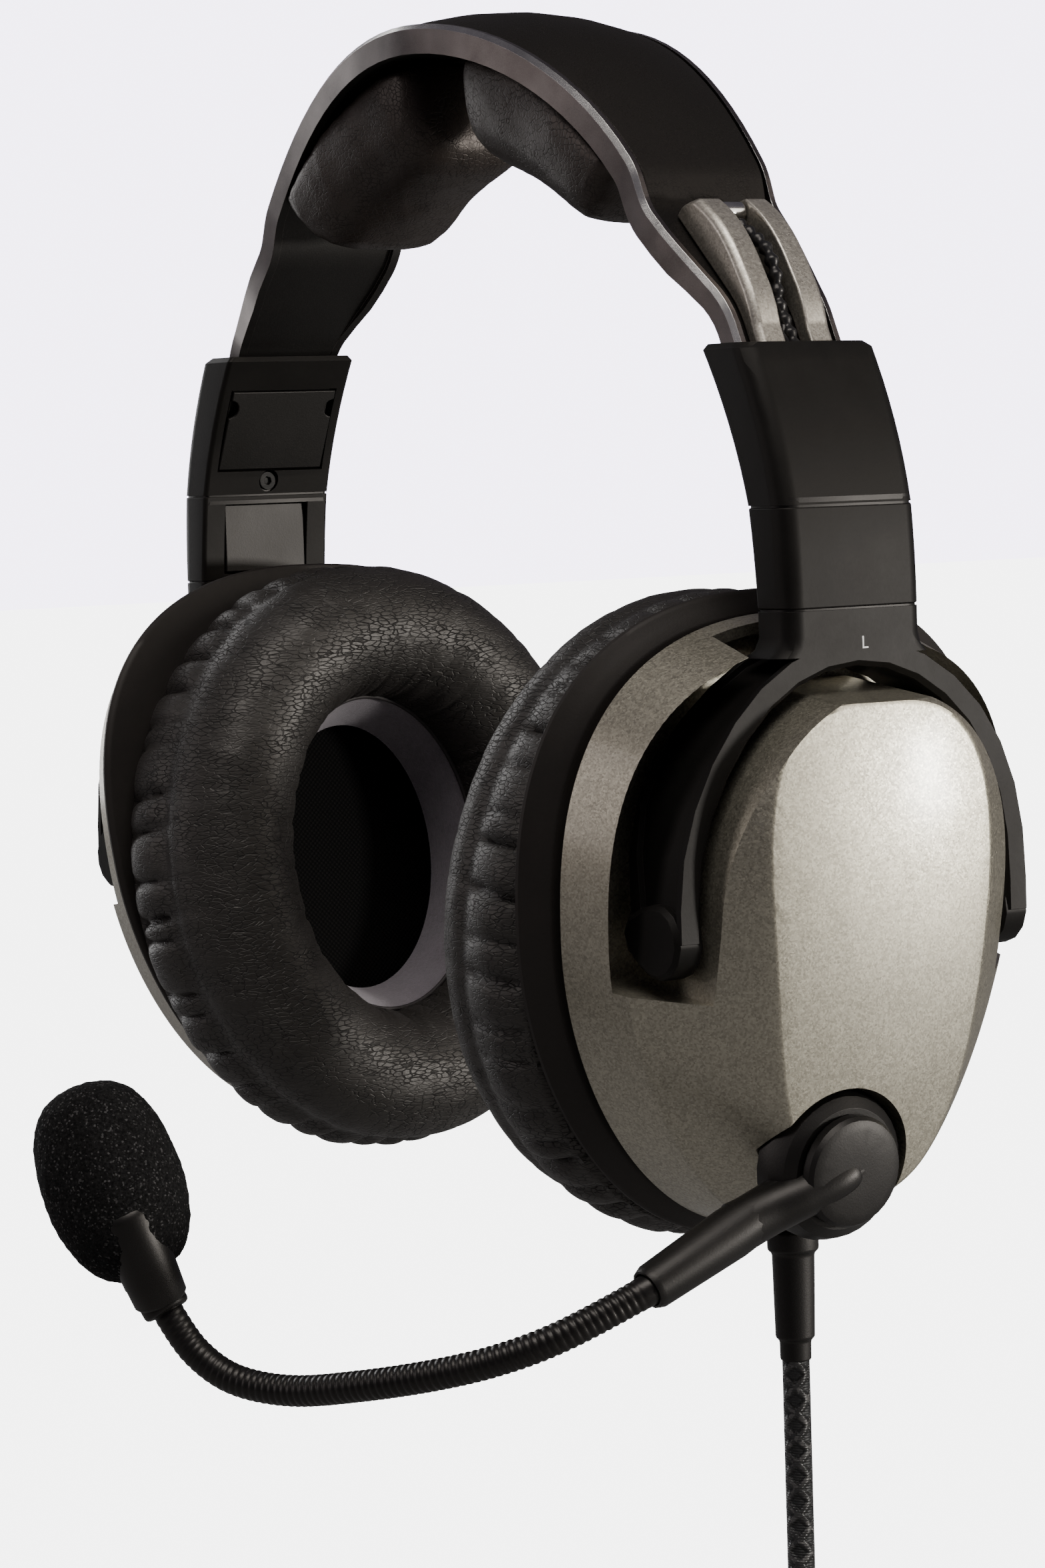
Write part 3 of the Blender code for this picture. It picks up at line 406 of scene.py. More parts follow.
@dataclass(frozen=True)
class GrainedLeather:
    """Leather with a pebbled grain and fine cracks; the cracks are darker in colour, a painted shade, and the
    cell tops are less rough.
    """

    name: str
    dark: Point
    light: Point
    grain: float = 1.0
    stretch: Point = (1.0, 1.0, 1.0)
    depth: float = 0.07
    roughness: float = 0.46
    gloss: float = 0.5
    sheen: tuple[float, ...] = (1.0, 0.88, 0.80, 1.0)

    def make(self) -> bpy.types.Material:
        """Build the material."""
        w = Wiring(self.name)
        spot = w.place(self.stretch)
        wobble = w.noise(spot, self.grain * 3.0, 2.0)
        drift = w.node("ShaderNodeCombineXYZ", None, {0: wobble, 1: wobble * 1.3, 2: wobble})
        bent = w.node("ShaderNodeVectorMath", {"operation": "ADD"}, {0: spot, 1: drift})
        crack = w.cells(bent, self.grain, "DISTANCE_TO_EDGE").band(0.0, 0.11)
        patch = w.noise(spot, self.grain * 7.0, 3.0).band(0.35, 0.6)
        crack = 1.0 - (1.0 - crack) * (patch * 0.75 + 0.25)
        pore = w.cells(spot, self.grain * 0.45, "F1").band(0.0, 0.6)
        cloud = w.noise(w.place(), 14.0, 4.0)
        height = crack * 0.75 + pore * 0.15 + w.noise(spot, 0.35, 2.0) * 0.15
        # Colour: painted shade darkens the cracks; the cloud adds random tone.
        tone = crack * 0.62 + cloud * 0.38
        colour = w.blend(tone.band(0.15, 0.9), tuple(self.dark), tuple(self.light))
        rough = self.roughness + 0.24 - crack * 0.20 - cloud * 0.06
        return w.surface(Base_Color=colour, Roughness=rough, Specular_IOR_Level=self.gloss,
                         Specular_Tint=self.sheen, Normal=w.relief(height, self.depth))


@dataclass(frozen=True)
class Felt:
    """Short wool felt."""

    name: str
    dark: Point
    light: Point

    def make(self) -> bpy.types.Material:
        """Build the material."""
        w = Wiring(self.name)
        fibre = w.noise(w.place((1.0, 0.35, 1.0)), 0.35, 5.0, 0.75, 1.4)
        cross = w.noise(w.place((1.0, 1.0, 0.35)), 0.35, 5.0, 0.75, 1.4)
        blot = w.noise(w.place(), 5.0, 3.0)
        tone = (fibre * 0.4 + cross * 0.4 + blot * 0.2).band(0.3, 0.7)
        colour = w.blend(tone, tuple(self.dark), tuple(self.light))
        return w.surface(Base_Color=colour, Roughness=0.96, Sheen_Weight=0.35, Sheen_Roughness=0.5,
                         Specular_IOR_Level=0.15, Normal=w.relief(fibre + cross, 0.16))


@dataclass(frozen=True)
class OpenFoam:
    """Reticulated foam with open cells, with painted sparkle highlights in its colour."""

    name: str
    dark: Point
    light: Point
    cell: float = 0.45

    def make(self) -> bpy.types.Material:
        """Build the material."""
        w = Wiring(self.name)
        spot = w.place()
        fine = w.noise(spot, self.cell, 3.0, 0.7)
        grit = w.split(w.cells(spot, self.cell * 0.6, output="Color"))
        # Painted glints: sparse cells turned bright in the base colour, as sparkle on the foam.
        painted_glint = grit[0].band(0.86, 1.0)
        height = fine * 0.6 + grit[1] * 0.4
        # Colour: mostly painted glints, with a little random tone from the fine noise.
        colour = w.blend(fine.band(0.3, 0.8) * 0.25 + painted_glint * 0.75, tuple(self.dark), tuple(self.light))
        return w.surface(Base_Color=colour, Roughness=0.95 - painted_glint * 0.35, Specular_IOR_Level=0.15,
                         Normal=w.relief(height, 0.30))


@dataclass(frozen=True)
class BrushedMetal:
    """Metal with fine brush lines and blotchy tone."""

    name: str
    dark: Point
    light: Point
    stretch: Point = (1.0, 0.06, 1.0)
    roughness: float = 0.30
    depth: float = 0.006

    def make(self) -> bpy.types.Material:
        """Build the material."""
        w = Wiring(self.name)
        brush = w.noise(w.place(self.stretch), 0.16, 4.0, 0.7)
        blot = w.noise(w.place(), 7.0, 4.0)
        colour = w.blend((brush * 0.5 + blot * 0.5).band(0.25, 0.75), tuple(self.dark), tuple(self.light))
        rough = self.roughness - 0.06 + brush * 0.08 + blot * 0.08
        return w.surface(Base_Color=colour, Metallic=1.0, Roughness=rough,
                         Normal=w.relief(brush, self.depth))


@dataclass(frozen=True)
class BraidedSleeve:
    """Braided cable jacket, mapped by turns round the cable and run along it; its colour holds painted glints
    on the strand tops and painted shade in the grooves between strands.
    """

    name: str
    dark: Point
    light: Point
    strands: int = 3
    pitch: float = 12.0

    def make(self) -> bpy.types.Material:
        """Build the material."""
        w = Wiring(self.name)
        raw = w.node("ShaderNodeTexCoord", output="UV")
        around, along, _ = w.split(raw)
        turn = math.tau * self.strands
        rise = math.tau * self.strands / self.pitch
        left = (around * turn + along * rise).wave()
        right = (around * turn - along * rise).wave()
        over = left.band(-0.2, 0.95).most(right.band(-0.2, 0.95))
        thread = (along * (math.tau / 0.42) + around * (math.tau * 3.0)).wave() * 0.5 + 0.5
        height = over * 0.85 + thread * 0.15
        # Painted glints: bright specks in the base colour, only on the tops of the strands.
        glint = w.cells(w.place(), 0.8, output="Color")
        painted_glint = w.split(glint)[0].band(0.62, 0.95) * over.band(0.55, 1.0)
        # Colour: painted shade darkens the low grooves and painted glints brighten the strand tops.
        tone = height * 0.25 + painted_glint * 0.75
        colour = w.blend(tone, tuple(self.dark), tuple(self.light))
        return w.surface(Base_Color=colour, Roughness=0.5 - height * 0.22, Normal=w.relief(height, 0.55))


@dataclass(frozen=True)
class PiercedCloth:
    """Acoustic cloth with a regular grid of small holes."""

    name: str
    dark: Point
    light: Point
    pitch: float = 0.9

    def make(self) -> bpy.types.Material:
        """Build the material."""
        w = Wiring(self.name)
        _, y, z = w.split(w.place())
        turn = math.tau / self.pitch
        weave = (y * turn).wave() * (z * turn).wave()
        tone = (weave * 0.5 + 0.5).band(0.2, 0.9)
        colour = w.blend(tone, tuple(self.dark), tuple(self.light))
        return w.surface(Base_Color=colour, Roughness=0.92, Specular_IOR_Level=0.12,
                         Normal=w.relief(tone, 0.12))


@dataclass(frozen=True)
class BoardLaminate:
    """Circuit board with solder mask, tracks and pads."""

    name: str
    mask: Point
    copper: Point

    def make(self) -> bpy.types.Material:
        """Build the material."""
        w = Wiring(self.name)
        spot = w.place()
        pads = w.cells(spot, 2.6, random=0.35).band(0.2, 0.14)
        tracks = w.cells(spot, 5.0, "DISTANCE_TO_EDGE", random=0.8).band(0.05, 0.02)
        copper = pads.most(tracks * 0.35)
        colour = w.blend(copper, tuple(self.mask), tuple(self.copper))
        return w.surface(Base_Color=colour, Roughness=0.42 - pads * 0.1, Metallic=pads,
                         Normal=w.relief(copper, 0.04))


@dataclass(frozen=True)
class WovenTape:
    """Woven strap."""

    name: str
    dark: Point
    light: Point
    pitch: float = 0.8

    def make(self) -> bpy.types.Material:
        """Build the material."""
        w = Wiring(self.name)
        x, y, z = w.split(w.place())
        turn = math.tau / self.pitch
        weave = ((x + y) * turn).wave() * (z * turn).wave()
        tone = (weave * 0.5 + 0.5).band(0.1, 0.9)
        colour = w.blend(tone, tuple(self.dark), tuple(self.light))
        return w.surface(Base_Color=colour, Roughness=0.85, Normal=w.relief(tone, 0.15))


FINISHES = {
    "band_metal": BrushedMetal("gunmetal_band", (0.13, 0.112, 0.104), (0.24, 0.212, 0.200), roughness=0.28),
    "cover_leather": GrainedLeather("black_band_cover", (0.0012, 0.0011, 0.0010), (0.0040, 0.0036, 0.0033),
                                    0.62, depth=0.03, roughness=0.56, gloss=0.22),
    "pad_leather": GrainedLeather("head_pad_leather", (0.0030, 0.0020, 0.0016), (0.0150, 0.0105, 0.0085), 0.9,
                                  depth=0.06, roughness=0.42),
    "fork_metal": FlakePaint("fork_champagne", (0.30, 0.275, 0.235), (0.50, 0.465, 0.405), roughness=0.40),
    "pin_steel": BrushedMetal("turned_pin_steel", (0.42, 0.41, 0.39), (0.72, 0.70, 0.67), roughness=0.22),
    "wire_jacket": SatinSkin("wire_jacket", (0.006, 0.006, 0.007), (0.013, 0.013, 0.014), 0.34),
    "stem_plastic": SatinSkin("satin_black_stem", (0.0042, 0.0038, 0.0034), (0.0085, 0.0077, 0.0069), 0.50,
                              gloss=0.16),
    "plate_plastic": SatinSkin("inner_plate_black", (0.0022, 0.0020, 0.0018), (0.0045, 0.0040, 0.0037), 0.46,
                               0.3, 0.02),
    "screw_steel": BrushedMetal("blackened_screw", (0.006, 0.006, 0.006), (0.022, 0.021, 0.020),
                                roughness=0.46),
    "yoke_paint": SatinSkin("satin_black_stirrup", (0.0020, 0.0018, 0.0016), (0.0044, 0.0040, 0.0036), 0.50,
                            gloss=0.20),
    "shell_paint": FlakePaint("champagne_shell", (0.225, 0.207, 0.163), (0.430, 0.400, 0.320)),
    "chassis_plastic": SatinSkin("grey_brown_chassis", (0.0080, 0.0064, 0.0056), (0.0140, 0.0114, 0.0100),
                                 0.55, 0.4, 0.02),
    "baffle_mesh": PiercedCloth("baffle_cloth", (0.0006, 0.0006, 0.0006), (0.0042, 0.0036, 0.0034)),
    "driver_cone": SatinSkin("driver_cone", (0.018, 0.018, 0.019), (0.04, 0.04, 0.042), 0.5),
    "cushion_leather": GrainedLeather("ear_seal_leather", (0.0012, 0.0010, 0.0009), (0.0175, 0.0155, 0.0138),
                                      1.25, (0.70, 0.70, 1.9), 0.17, 0.47,
                                      sheen=(1.0, 0.95, 0.90, 1.0)),
    "liner_felt": Felt("liner_felt", (0.115, 0.098, 0.112), (0.205, 0.180, 0.200)),
    "board_laminate": BoardLaminate("circuit_laminate", (0.008, 0.05, 0.02), (0.62, 0.48, 0.24)),
    "boom_plastic": SatinSkin("boom_black", (0.0026, 0.0024, 0.0022), (0.0056, 0.0052, 0.0048),
                              0.42, 0.35, 0.02),
    "cap_plastic": SatinSkin("cap_black", (0.0024, 0.0022, 0.0021), (0.0050, 0.0046, 0.0043),
                             0.46, 0.35, 0.02),
    "gooseneck_rubber": SatinSkin("gooseneck_black", (0.0028, 0.0026, 0.0025), (0.0062, 0.0058, 0.0055),
                                  0.36),
    # The foam's light colour is mostly the colour of its painted sparkle.
    "windscreen_foam": OpenFoam("windscreen_foam", (0.0005, 0.0005, 0.0005), (0.060, 0.057, 0.056)),
    "boot_rubber": SatinSkin("boot_rubber", (0.0028, 0.0026, 0.0025), (0.0055, 0.0051, 0.0049),
                             0.50, 0.3, 0.03),
    # The braid's light colour is the colour of its painted glints.
    "cable_braid": BraidedSleeve("braided_cable", (0.0010, 0.0010, 0.0009), (0.095, 0.090, 0.086)),
    "tie_strap": WovenTape("tie_strap", (0.002, 0.002, 0.002), (0.008, 0.008, 0.008)),
    "plug_plastic": SatinSkin("plug_black", (0.003, 0.003, 0.003), (0.007, 0.007, 0.007), 0.4),
    "plug_metal": BrushedMetal("plug_nickel", (0.45, 0.45, 0.43), (0.70, 0.69, 0.66), roughness=0.24),
}
EXTRA_FINISHES = {
    "letter": SatinSkin("side_letter_white", (0.82, 0.82, 0.80), (0.92, 0.92, 0.90), 0.5),
    "piping": SatinSkin("liner_piping", (0.014, 0.012, 0.013), (0.030, 0.026, 0.028), 0.6),
}


class Wardrobe:
    """Makes each finish once and hands it out."""

    def __init__(self) -> None:
        """Start empty."""
        self.made: dict[str, bpy.types.Material] = {}

    def material(self, key: str) -> bpy.types.Material:
        """The material of a record slot, or of an extra finish.

        Args:
            key: the slot's or the finish's name.

        Returns:
            The material.
        """
        if key not in self.made:
            self.made[key] = {**FINISHES, **EXTRA_FINISHES}[key].make()
        return self.made[key]

    def dress(self, piece: bpy.types.Object, key: str) -> None:
        """Give a piece one finish.

        Args:
            piece: the object.
            key: the slot's or the finish's name.
        """
        piece.data.materials.clear()
        piece.data.materials.append(self.material(key))


WARDROBE = Wardrobe()


# ------------------------------------------------------------------ mesh tools
def place_piece(piece: bpy.types.Object, body: str, key: str, *nodes: str) -> bpy.types.Object:
    """Put a finished piece on its body, dress it and hide the CAD nodes that it replaces.

    Args:
        piece: the object.
        body: the body it rides on.
        key: its finish.
        nodes: CAD nodes that it replaces.

    Returns:
        The same object.
    """
    WARDROBE.dress(piece, key)
    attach(piece, body)
    if nodes:
        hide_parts(*nodes)
    LOG.info("%s rides on %s", piece.name, body)
    return piece


def mesh_piece(name: str, work: bmesh.types.BMesh, corner: float = 38.0) -> bpy.types.Object:
    """Turn a bmesh into an object.

    Args:
        name: the object's name.
        work: the mesh, in metres; it is freed.
        corner: edges sharper than this many degrees stay crisp.

    Returns:
        The object.
    """
    bmesh.ops.recalc_face_normals(work, faces=work.faces)
    mesh = bpy.data.meshes.new(name)
    work.to_mesh(mesh)
    work.free()
    mesh.shade_smooth()
    mesh.set_sharp_from_angle(angle=math.radians(corner))
    piece = bpy.data.objects.new(name, mesh)
    bpy.context.scene.collection.objects.link(piece)
    return piece


def loft(name: str, rings: Sequence[Ring], wrap: bool = False, corner: float = 38.0,
         grid: bool = False) -> bpy.types.Object:
    """Skin over closed rings given in millimetres.

    Args:
        name: the object's name.
        rings: rings of the same count.
        wrap: join the last ring to the first instead of closing the ends.
        corner: crisp edge angle in degrees.
        grid: write UVs of turns round and millimetres along.

    Returns:
        The object.
    """
    work = bmesh.new()
    rows = [[work.verts.new(Vector(p) * MM) for p in ring] for ring in rings]
    count = len(rows[0])
    uv = work.loops.layers.uv.new("UVMap") if grid else None
    run = [0.0]
    for first, second in zip(rings, rings[1:]):
        middle = np.mean(np.array(second, float), 0) - np.mean(np.array(first, float), 0)
        run.append(run[-1] + float(np.linalg.norm(middle)))
    for i in range(len(rows) if wrap else len(rows) - 1):
        j = (i + 1) % len(rows)
        for k in range(count):
            m = (k + 1) % count
            face = work.faces.new((rows[i][k], rows[i][m], rows[j][m], rows[j][k]))
            if uv is not None:
                spots = ((k, i), (k + 1, i), (k + 1, j), (k, j))
                for loop, (across, along) in zip(face.loops, spots):
                    loop[uv].uv = (across / count, run[along])
    if not wrap:
        for row in (rows[0], rows[-1]):
            work.faces.new(row)
    return mesh_piece(name, work, corner)


def frames_along(path: Sequence[Point]) -> list[tuple[Vector, Vector, Vector]]:
    """Point and two cross directions at each point of a path, without twist.

    Args:
        path: points in millimetres.

    Returns:
        One (point, first across, second across) for each point.
    """
    points = [Vector(p) for p in path]
    ways = []
    for i in range(len(points)):
        ways.append((points[min(i + 1, len(points) - 1)] - points[max(i - 1, 0)]).normalized())
    across = ways[0].orthogonal().normalized()
    out = []
    for point, way in zip(points, ways):
        across = (across - way * across.dot(way)).normalized()
        out.append((point, across, way.cross(across)))
    return out


def tube(name: str, path: Sequence[Point], radius: Callable[[float, float], float], sides: int = 24,
         corner: float = 50.0, grid: bool = False) -> bpy.types.Object:
    """Tube whose radius may change along and round it.

    Args:
        name: the object's name.
        path: centreline in millimetres.
        radius: radius in millimetres from (run along, angle round).
        sides: points round the tube.
        corner: crisp edge angle in degrees.
        grid: write UVs.

    Returns:
        The object.
    """
    rings, run, last = [], 0.0, None
    for point, u, v in frames_along(path):
        run += 0.0 if last is None else (point - last).length
        last = point
        ring = []
        for k in range(sides):
            a = math.tau * k / sides
            ring.append(point + (u * math.cos(a) + v * math.sin(a)) * radius(run, a))
        rings.append(ring)
    return loft(name, rings, False, corner, grid)


def smooth_path(points: Sequence[Point], step: float) -> list[Vector]:
    """Even points on a Catmull-Rom curve.

    Args:
        points: corner points in millimetres.
        step: distance between the points given back.

    Returns:
        The points.
    """
    knots = [Vector(p) for p in points]
    knots = [knots[0] * 2 - knots[1]] + knots + [knots[-1] * 2 - knots[-2]]
    dense = []
    for i in range(1, len(knots) - 2):
        p0, p1, p2, p3 = knots[i - 1:i + 3]
        for k in range(40):
            t = k / 40
            dense.append(0.5 * (2 * p1 + (p2 - p0) * t + (2 * p0 - 5 * p1 + 4 * p2 - p3) * t * t
                                + (3 * p1 - p0 - 3 * p2 + p3) * t ** 3))
    dense.append(knots[-2])
    lengths = np.concatenate([[0.0], np.cumsum([(b - a).length for a, b in zip(dense, dense[1:])])])
    count = max(2, int(round(lengths[-1] / step)) + 1)
    table = np.array([list(p) for p in dense])
    wanted = np.linspace(0.0, lengths[-1], count)
    return [Vector([float(np.interp(s, lengths, table[:, axis])) for axis in range(3)]) for s in wanted]


def turned(name: str, foot: Point, axis: Vector, profile: Sequence[tuple[float, float]], sides: int = 72,
           corner: float = 38.0) -> bpy.types.Object:
    """Turned piece.

    Args:
        name: the object's name.
        foot: where height 0 is, in millimetres.
        axis: direction of height.
        profile: (radius, height) points.
        sides: points round.
        corner: crisp edge angle in degrees.

    Returns:
        The object.
    """
    way = Vector(axis).normalized()
    u = way.orthogonal().normalized()
    v = way.cross(u)
    rings = []
    for radius, height in profile:
        middle = Vector(foot) + way * height
        rings.append([middle + (u * math.cos(a) + v * math.sin(a)) * radius
                      for a in np.linspace(0, math.tau, sides, endpoint=False)])
    return loft(name, rings, False, corner)


def carve(target: bpy.types.Object, tool: bpy.types.Object, kind: str = "DIFFERENCE") -> None:
    """Boolean a tool into a target, then drop the tool.

    Args:
        target: the piece that is cut.
        tool: the cutter.
        kind: the Boolean's operation.
    """
    step = target.modifiers.new("carve", "BOOLEAN")
    step.operation = kind
    step.solver = "EXACT"
    step.object = tool
    graph = bpy.context.evaluated_depsgraph_get()
    mesh = bpy.data.meshes.new_from_object(target.evaluated_get(graph))
    target.modifiers.clear()
    target.data = mesh
    bpy.data.objects.remove(tool, do_unlink=True)


def soften(piece: bpy.types.Object, width: float, steps: int = 2, corner: float = 32.0) -> None:
    """Round the crisp edges and even out the shading.

    Args:
        piece: the object.
        width: width of the rounding in millimetres.
        steps: segments of the rounding.
        corner: edges sharper than this many degrees are rounded.
    """
    mesh = piece.data
    work = bmesh.new()
    work.from_mesh(mesh)
    bmesh.ops.remove_doubles(work, verts=work.verts, dist=0.002 * MM)
    bmesh.ops.dissolve_limit(work, angle_limit=math.radians(1.0), verts=work.verts, edges=work.edges)
    sharp = [e for e in work.edges if e.is_manifold and e.calc_face_angle(0.0) > math.radians(corner)]
    if width > 0 and sharp:
        bmesh.ops.bevel(work, geom=sharp, offset=width * MM, segments=steps, profile=0.5,
                        affect="EDGES", clamp_overlap=True)
    bmesh.ops.recalc_face_normals(work, faces=work.faces)
    work.to_mesh(mesh)
    work.free()
    mesh.shade_smooth()
    mesh.set_sharp_from_angle(angle=math.radians(46.0))
    even = piece.modifiers.new("even_shading", "WEIGHTED_NORMAL")
    even.keep_sharp = True
    even.weight = 60


def cad_copy(node: str, name: str) -> bpy.types.Object:
    """Joined-up copy of a CAD node's mesh as a new object.

    Args:
        node: the CAD node.
        name: the new object's name.

    Returns:
        The object.
    """
    work = bmesh.new()
    work.from_mesh(frame["nodes"][node].data)
    bmesh.ops.remove_doubles(work, verts=work.verts, dist=0.002 * MM)
    return mesh_piece(name, work)


def refined(node: str, width: float = 0.3, steps: int = 2) -> bpy.types.Object:
    """Copy of a CAD node with rounded edges and even shading, dressed for its slot.

    Args:
        node: the CAD node.
        width: width of the edge rounding in millimetres.
        steps: segments of the rounding.

    Returns:
        The piece, in place of the node.
    """
    piece = cad_copy(node, node + "_skin")
    soften(piece, width, steps)
    return place_piece(piece, BODY_OF[node], SLOT_OF[node], node)


def ease(value: float, low: float, high: float) -> float:
    """Smooth step from 0 at low to 1 at high."""
    t = min(max((value - low) / (high - low), 0.0), 1.0)
    return t * t * (3 - 2 * t)


def wrinkle_field(seed: int, waves: int, low: float, high: float) -> Callable[[np.ndarray], np.ndarray]:
    """Sum of random plane waves with sharp valleys.

    Args:
        seed: seed of the draw.
        waves: how many waves.
        low: shortest wavelength in millimetres.
        high: longest wavelength in millimetres.

    Returns:
        A function from points in millimetres to heights of about -1 to 1.
    """
    draw = np.random.default_rng(seed)
    ways = draw.normal(size=(waves, 3))
    ways /= np.linalg.norm(ways, axis=1)[:, None]
    lengths = draw.uniform(low, high, waves)
    phases = draw.uniform(0, math.tau, waves)

    def field(points: np.ndarray) -> np.ndarray:
        """Height at each point."""
        turns = points @ (ways / lengths[:, None]).T * math.tau + phases
        return (1 - 2 * np.abs(np.sin(turns / 2)) ** 0.7).mean(axis=1) * 1.6

    return field


def push_out(piece: bpy.types.Object, amount: Callable[[np.ndarray, np.ndarray], np.ndarray]) -> None:
    """Move points along their normals.

    Args:
        piece: the object.
        amount: movement in millimetres from (points in millimetres, normals).
    """
    mesh = piece.data
    count = len(mesh.vertices)
    points = np.zeros(count * 3)
    normals = np.zeros(count * 3, np.float32)
    mesh.vertices.foreach_get("co", points)
    mesh.vertex_normals.foreach_get("vector", normals)
    points, normals = points.reshape(-1, 3), normals.reshape(-1, 3).astype(float)
    points += normals * (amount(points / MM, normals) * MM)[:, None]
    mesh.vertices.foreach_set("co", points.ravel())
    mesh.update()


def puff_up(piece: bpy.types.Object, pressure: float, cap: float, held: Callable[[Vector], bool],
            grow: float = 0.0) -> None:
    """Blow a padded piece up as cloth, with its seam held, and keep the result in the mesh.

    Args:
        piece: the object.
        pressure: cloth pressure.
        cap: furthest that a point may move, in millimetres.
        held: tells from a point in metres whether it is sewn down.
        grow: share by which the cover is larger than the shape, which gathers it.
    """
    mesh = piece.data
    sewn = piece.vertex_groups.new(name="sewn")
    sewn.add([v.index for v in mesh.vertices if held(v.co)], 1.0, "ADD")
    cloth = piece.modifiers.new("stuffing", "CLOTH")
    cloth.settings.use_pressure = True
    cloth.settings.uniform_pressure_force = pressure
    cloth.settings.vertex_group_mass = "sewn"
    cloth.settings.shrink_min = -grow
    cloth.settings.quality = 4
    cloth.settings.tension_stiffness = 12
    cloth.settings.compression_stiffness = 8
    cloth.settings.bending_stiffness = 0.05
    cloth.settings.effector_weights.gravity = 0.0
    cloth.collision_settings.use_collision = False
    cloth.point_cache.frame_start = 1
    cloth.point_cache.frame_end = 20
    scene = bpy.context.scene
    for step in range(1, 21):
        scene.frame_set(step)
    graph = bpy.context.evaluated_depsgraph_get()
    count = len(mesh.vertices)
    before, after = np.zeros(count * 3), np.zeros(count * 3)
    mesh.vertices.foreach_get("co", before)
    piece.evaluated_get(graph).data.vertices.foreach_get("co", after)
    move = (after - before).reshape(-1, 3)
    length = np.linalg.norm(move, axis=1)
    move *= (np.minimum(length, cap * MM) / np.maximum(length, 1e-12))[:, None]
    piece.modifiers.clear()
    mesh.vertices.foreach_set("co", (before.reshape(-1, 3) + move).ravel())
    mesh.update()
    scene.frame_set(1)


